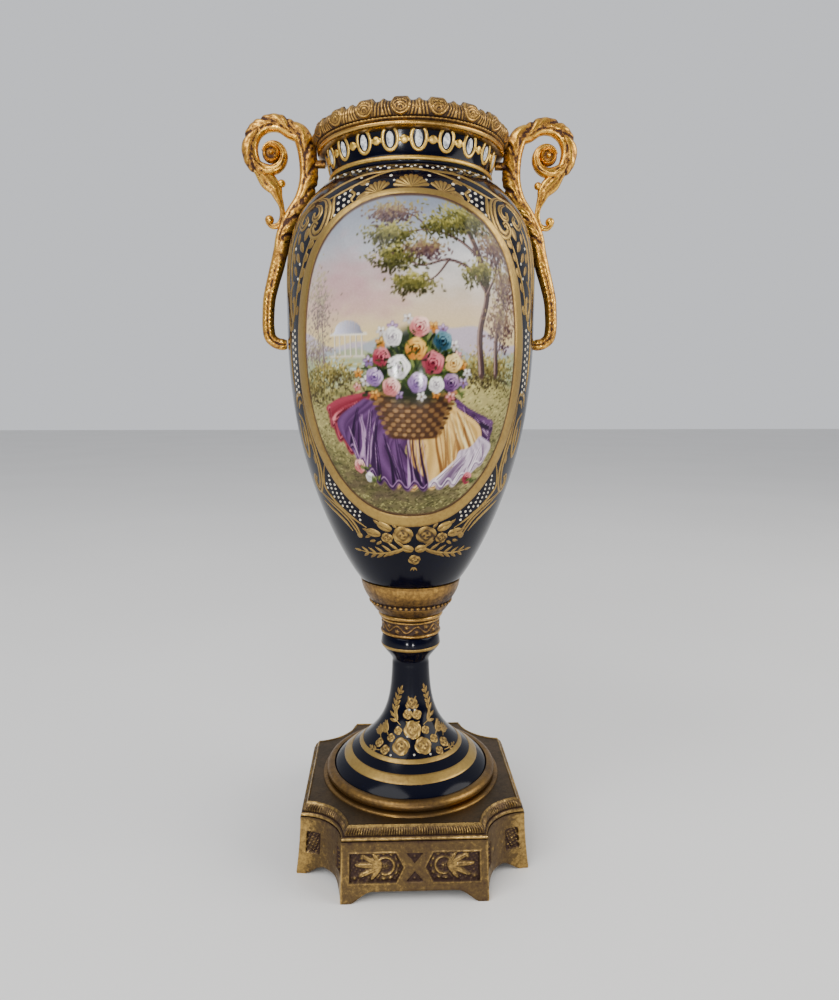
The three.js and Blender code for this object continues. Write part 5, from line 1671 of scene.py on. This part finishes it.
NECK_DOTS = (
    (-6.8, 3.2, 0.75), (-4.6, 4.3, 0.8), (-2.4, 3.2, 0.7), (0.6, 4.6, 1.0), (4.6, 3.4, 0.75),
    (7.6, 4.6, 0.85),
)


def neck_oval(gold, mottled, azimuth):
    """An enamelled oval in its gold frame, and the gold link to the next."""
    around = np.linspace(0, 2 * math.pi, 41)
    across = np.degrees(4.0 * np.cos(around) / 48)
    outline = np.stack([azimuth + across, NECK_OVAL_Z + 5.6 * np.sin(around)], -1)
    neck.stroke(gold, outline, 1.9, 0.6, (1, 1), 48)
    neck.dome(mottled, azimuth, NECK_OVAL_Z - 0.6, 3.9, 0.5, sides=20, rings=5, stretch=0.52)
    neck.dome(gold, azimuth + 9, NECK_OVAL_Z - 0.8, 2.3, 0.8, sides=16, rings=5)
    link = [(azimuth + offset, NECK_OVAL_Z - 0.8) for offset in (5, 9, 13)]
    neck.stroke(gold, link, 2.4, 0.35, (1, 1))


def neck_gilding(gold, white, mottled):
    """Twenty enamelled ovals under the rim, a gold ring and small dots under that."""
    for index in range(NECK_OVALS):
        azimuth = NECK_OVAL_FIRST + 360 / NECK_OVALS * index
        neck_oval(gold, mottled, azimuth)
        for offset, drop, radius in NECK_DOTS:
            skin.dome(white, azimuth + offset, NECK_BOTTOM - drop, radius, 0.4, sides=9, rings=3)
    ring = [(46.9 + 1.05 * math.cos(angle), NECK_BOTTOM + 1.9 + 1.3 * math.sin(angle))
            for angle in np.linspace(-1.5, 1.5, 13)]
    gold.grid(turned_grid(ring, 220), is_ring=True, hollow=0.25)


# Sprays on the back: their points in degrees from the middle and mm over it, and their pairs of leaves

BACK_SPRAYS = (
    ([(6, 10), (14, 24), (12, 40)], 6),
    ([(8, 0), (20, 4), (31, 14)], 5),
    ([(6, -10), (15, -24), (14, -40)], 6),
)


def back_bouquet(gold):
    """A plain spray of flowers on the back."""
    skin.rose(gold, BACK, OVAL_Z, 8.5, 0.5)
    for side in both_sides(BACK):
        skin.rose(gold, side.at(10), OVAL_Z - 10, 6, 0.5)
        skin.rose(gold, side.at(9), OVAL_Z + 11, 5, 0.5)
        for points, leaflets in BACK_SPRAYS:
            path = [(side.at(azimuth), OVAL_Z + rise) for azimuth, rise in points]
            skin.spray(gold, path, leaflets, 7, 2.4)
    skin.spray(gold, [(BACK, OVAL_Z + 8), (BACK + 1, OVAL_Z + 26), (BACK - 1, OVAL_Z + 44)], 6, 7, 2.4)


# The foot's ornament, by degrees from its middle and mm high: roses with their radius, sprays with their
# pairs of leaves and the leaf's size, loose leaves with their turn, and dots

FOOT_TURN = 1.5
FOOT_ROSE_SIZE = 1.08
FOOT_BANDS = ((64.3, 66.4, 0.25), (56.5, 60.4, 0.25), (129.9, 131.9, 0.3))
FOOT_ROSES = (
    (0, 95.2, 3.3), (-10.2, 88.4, 2.9), (11.2, 88.2, 2.9), (0.2, 80.1, 5.3), (-17.2, 71.8, 5.2),
    (14.6, 72, 5.2),
    (-38, 68.8, 3.0), (-51.6, 70.8, 2.9), (-36, 74.8, 2.5), (-26.6, 79, 2.5), (24.6, 79.2, 2.5),
    (35, 74, 2.7),
    (49, 70.6, 3.2), (35, 68.2, 2.6),
)
FOOT_SPRAYS = (
    ([(-24, 82), (-42, 87), (-43, 95), (-31, 104)], 6, 5.2, 1.6),
    ([(22, 82), (46, 87), (48, 95), (38, 104.6)], 6, 5.2, 1.6),
    ([(-54, 73), (-62, 75.4), (-70, 76)], 3, 5.4, 1.6), ([(54, 73), (64, 75.4), (76, 75)], 3, 5.4, 1.6),
    ([(-42, 75.5), (-52, 78), (-60, 80.6)], 3, 5.0, 1.6), ([(40, 75.5), (52, 78), (62, 80.6)], 3, 5.0, 1.6),
    ([(-44, 68), (-54, 67.2), (-62, 67.4)], 2, 3.4, 1.2), ([(42, 67.6), (54, 67.2), (64, 67.4)], 2, 3.4, 1.2),
)
FOOT_LEAVES = ((-13, 93, 2.2), (13, 93, 0.9), (-9, 83.6, 2.6), (11, 83.6, 0.5), (-8, 98, 1.9), (8, 98, 1.2))
FOOT_DOTS = ((-27.8, 67.2), (0.9, 68.2), (21.1, 67.7), (-9, 76.6), (8.6, 76.8), (-6.4, 91), (6.6, 91))


def foot_gilding(gold, white):
    """A bouquet on the front of the trumpet, two gold bands round its base and a line under the knop."""
    for low, high, height in FOOT_BANDS:
        foot_skin.band(gold, low, high, height)
    for azimuth, z, radius in FOOT_ROSES:
        foot_skin.rose(gold, azimuth + FOOT_TURN, z, radius * FOOT_ROSE_SIZE, 0.2 * radius ** 0.7 + 0.25)
    for points, leaflets, length, width in FOOT_SPRAYS:
        path = [(azimuth + FOOT_TURN, z) for azimuth, z in points]
        foot_skin.spray(gold, path, leaflets, length * LEAF_LENGTH, width * LEAF_WIDTH, 0.35)
    for azimuth, z, lean in FOOT_LEAVES:
        foot_skin.leaf(gold, azimuth + FOOT_TURN, z, lean, 3.6, 1.5, 0.35)
    for azimuth, z in FOOT_DOTS:
        foot_skin.dome(white, azimuth + FOOT_TURN, z, 0.75, 0.4, sides=8, rings=3)


def gilding():
    """All raised gilding, and the white and mottled enamel that goes with it."""
    front, back, neck_gold, foot_gold, white, mottled = (Build() for _ in range(6))
    shoulder_gilding(front, white, DESIGN_TURN, True)
    swag(front, 0.5)
    oval_frame(front, DESIGN_TURN, -0.04, 1.0, 0.45)
    shoulder_gilding(back, white, BACK + DESIGN_TURN, False)
    swag(back, BACK)
    oval_frame(back, BACK + DESIGN_TURN, 0.45, 0.95, 0.4)
    back_bouquet(back)
    neck_gilding(neck_gold, white, mottled)
    foot_gilding(foot_gold, white)
    front.make("front_gilding", GILDING, slot="cobalt_porcelain", sharp=70)
    back.make("back_gilding", GILDING, slot="cobalt_porcelain", sharp=70)
    neck_gold.make("neck_gilding", NECK_GOLD, slot="cobalt_porcelain", sharp=70)
    foot_gold.make("foot_gilding", GILDING, slot="cobalt_porcelain", sharp=70)
    white.make("white_enamel_dots", WHITE, slot="cobalt_porcelain")
    mottled.make("enamelled_ovals", MOTTLED, slot="cobalt_porcelain")


# The urn

vase_body()
porcelain_foot()
rim_mount()
collar()
plinth()
plinth_plate()
foot_ring()
handle("fine_handle_right", "handle_right", False)
handle("fine_handle_left", "handle_left", True)
painted_oval()
gilding()


# Light, floor and camera

def pale_floor():
    """A wide pale floor under the urn."""
    mesh = bpy.data.meshes.new("floor")
    mesh.from_pydata([(-6, -6, 0), (6, -6, 0), (6, 6, 0), (-6, 6, 0)], [], [(0, 1, 2, 3)])
    material, nodes, links, shader = node_material("pale_floor")
    noise = noise_node(nodes, links, 3, 2, 0.4)
    tone = ramp_node(nodes, links, noise, [(0.3, (0.8, 0.79, 0.77)), (0.7, (0.83, 0.82, 0.8))])
    links.new(tone, shader.inputs["Base Color"])
    shader.inputs["Roughness"].default_value = 0.7
    mesh.materials.append(material)
    floor = bpy.data.objects.new("floor", mesh)
    bpy.context.scene.collection.objects.link(floor)


def studio():
    """Soft light all round, dark low down behind the camera and bright above and behind the urn."""
    world = bpy.data.worlds.new("studio")
    bpy.context.scene.world = world
    world.use_nodes = True
    nodes, links = world.node_tree.nodes, world.node_tree.links
    place = nodes.new("ShaderNodeTexCoord")
    parts = nodes.new("ShaderNodeSeparateXYZ")
    links.new(place.outputs["Generated"], parts.inputs["Vector"])
    ahead = math_node(nodes, links, "MULTIPLY_ADD", parts.outputs["Y"], 0.5, 0.5)
    above = math_node(nodes, links, "MULTIPLY_ADD", parts.outputs["Z"], 0.35, ahead)
    tone = ramp_node(nodes, links, above, [(0.25, (0.17, 0.175, 0.19)), (0.82, (0.93, 0.95, 1.0))])
    links.new(tone, nodes["Background"].inputs["Color"])
    nodes["Background"].inputs["Strength"].default_value = 0.8


def lamp(name, size, place, target, power, colour=(1, 1, 1)):
    data = bpy.data.lights.new(name, "AREA")
    data.shape = "DISK"
    data.size = size
    data.energy = power
    data.color = colour
    light = bpy.data.objects.new(name, data)
    bpy.context.scene.collection.objects.link(light)
    light.location = place
    light.rotation_euler = (Vector(target) - Vector(place)).to_track_quat("-Z", "Y").to_euler()


# The camera: lens as a multiple of the picture's height, place in metres and aim in radians

SENSOR = 36
LENS_SHARE = 0.709
LENS_SHIFT = 0.0089
CAMERA_DISTANCE = 0.44
CAMERA_HEIGHT = 0.2867
CAMERA_YAW = math.radians(2)
CAMERA_PITCH = 0.1435


def camera():
    data = bpy.data.cameras.new("photo_camera")
    data.sensor_fit = "VERTICAL"
    data.sensor_height = SENSOR
    data.sensor_width = SENSOR
    data.lens = LENS_SHARE * SENSOR
    data.shift_x = LENS_SHIFT
    data.clip_start = 0.01
    view = bpy.data.objects.new("photo_camera", data)
    bpy.context.scene.collection.objects.link(view)
    sin, cos = math.sin(CAMERA_YAW), math.cos(CAMERA_YAW)
    view.location = (-CAMERA_DISTANCE * sin, -CAMERA_DISTANCE * cos, CAMERA_HEIGHT)
    level = math.cos(CAMERA_PITCH)
    ahead = Vector((sin * level, cos * level, -math.sin(CAMERA_PITCH)))
    view.rotation_euler = ahead.to_track_quat("-Z", "Y").to_euler()
    bpy.context.scene.camera = view


pale_floor()
studio()
camera()
lamp("key", 2.0, (-1.0, -1.2, 1.6), (0, 0, 0.25), 42)
lamp("side", 1.4, (1.5, -0.5, 0.9), (0, 0, 0.3), 22, (1, 0.97, 0.92))
lamp("front_left", 0.065, (-0.333, -1.221, 0.168), (0, 0, 0.28), 4)
lamp("front_right", 0.065, (0.153, -1.246, 0.12), (0, 0, 0.28), 3)
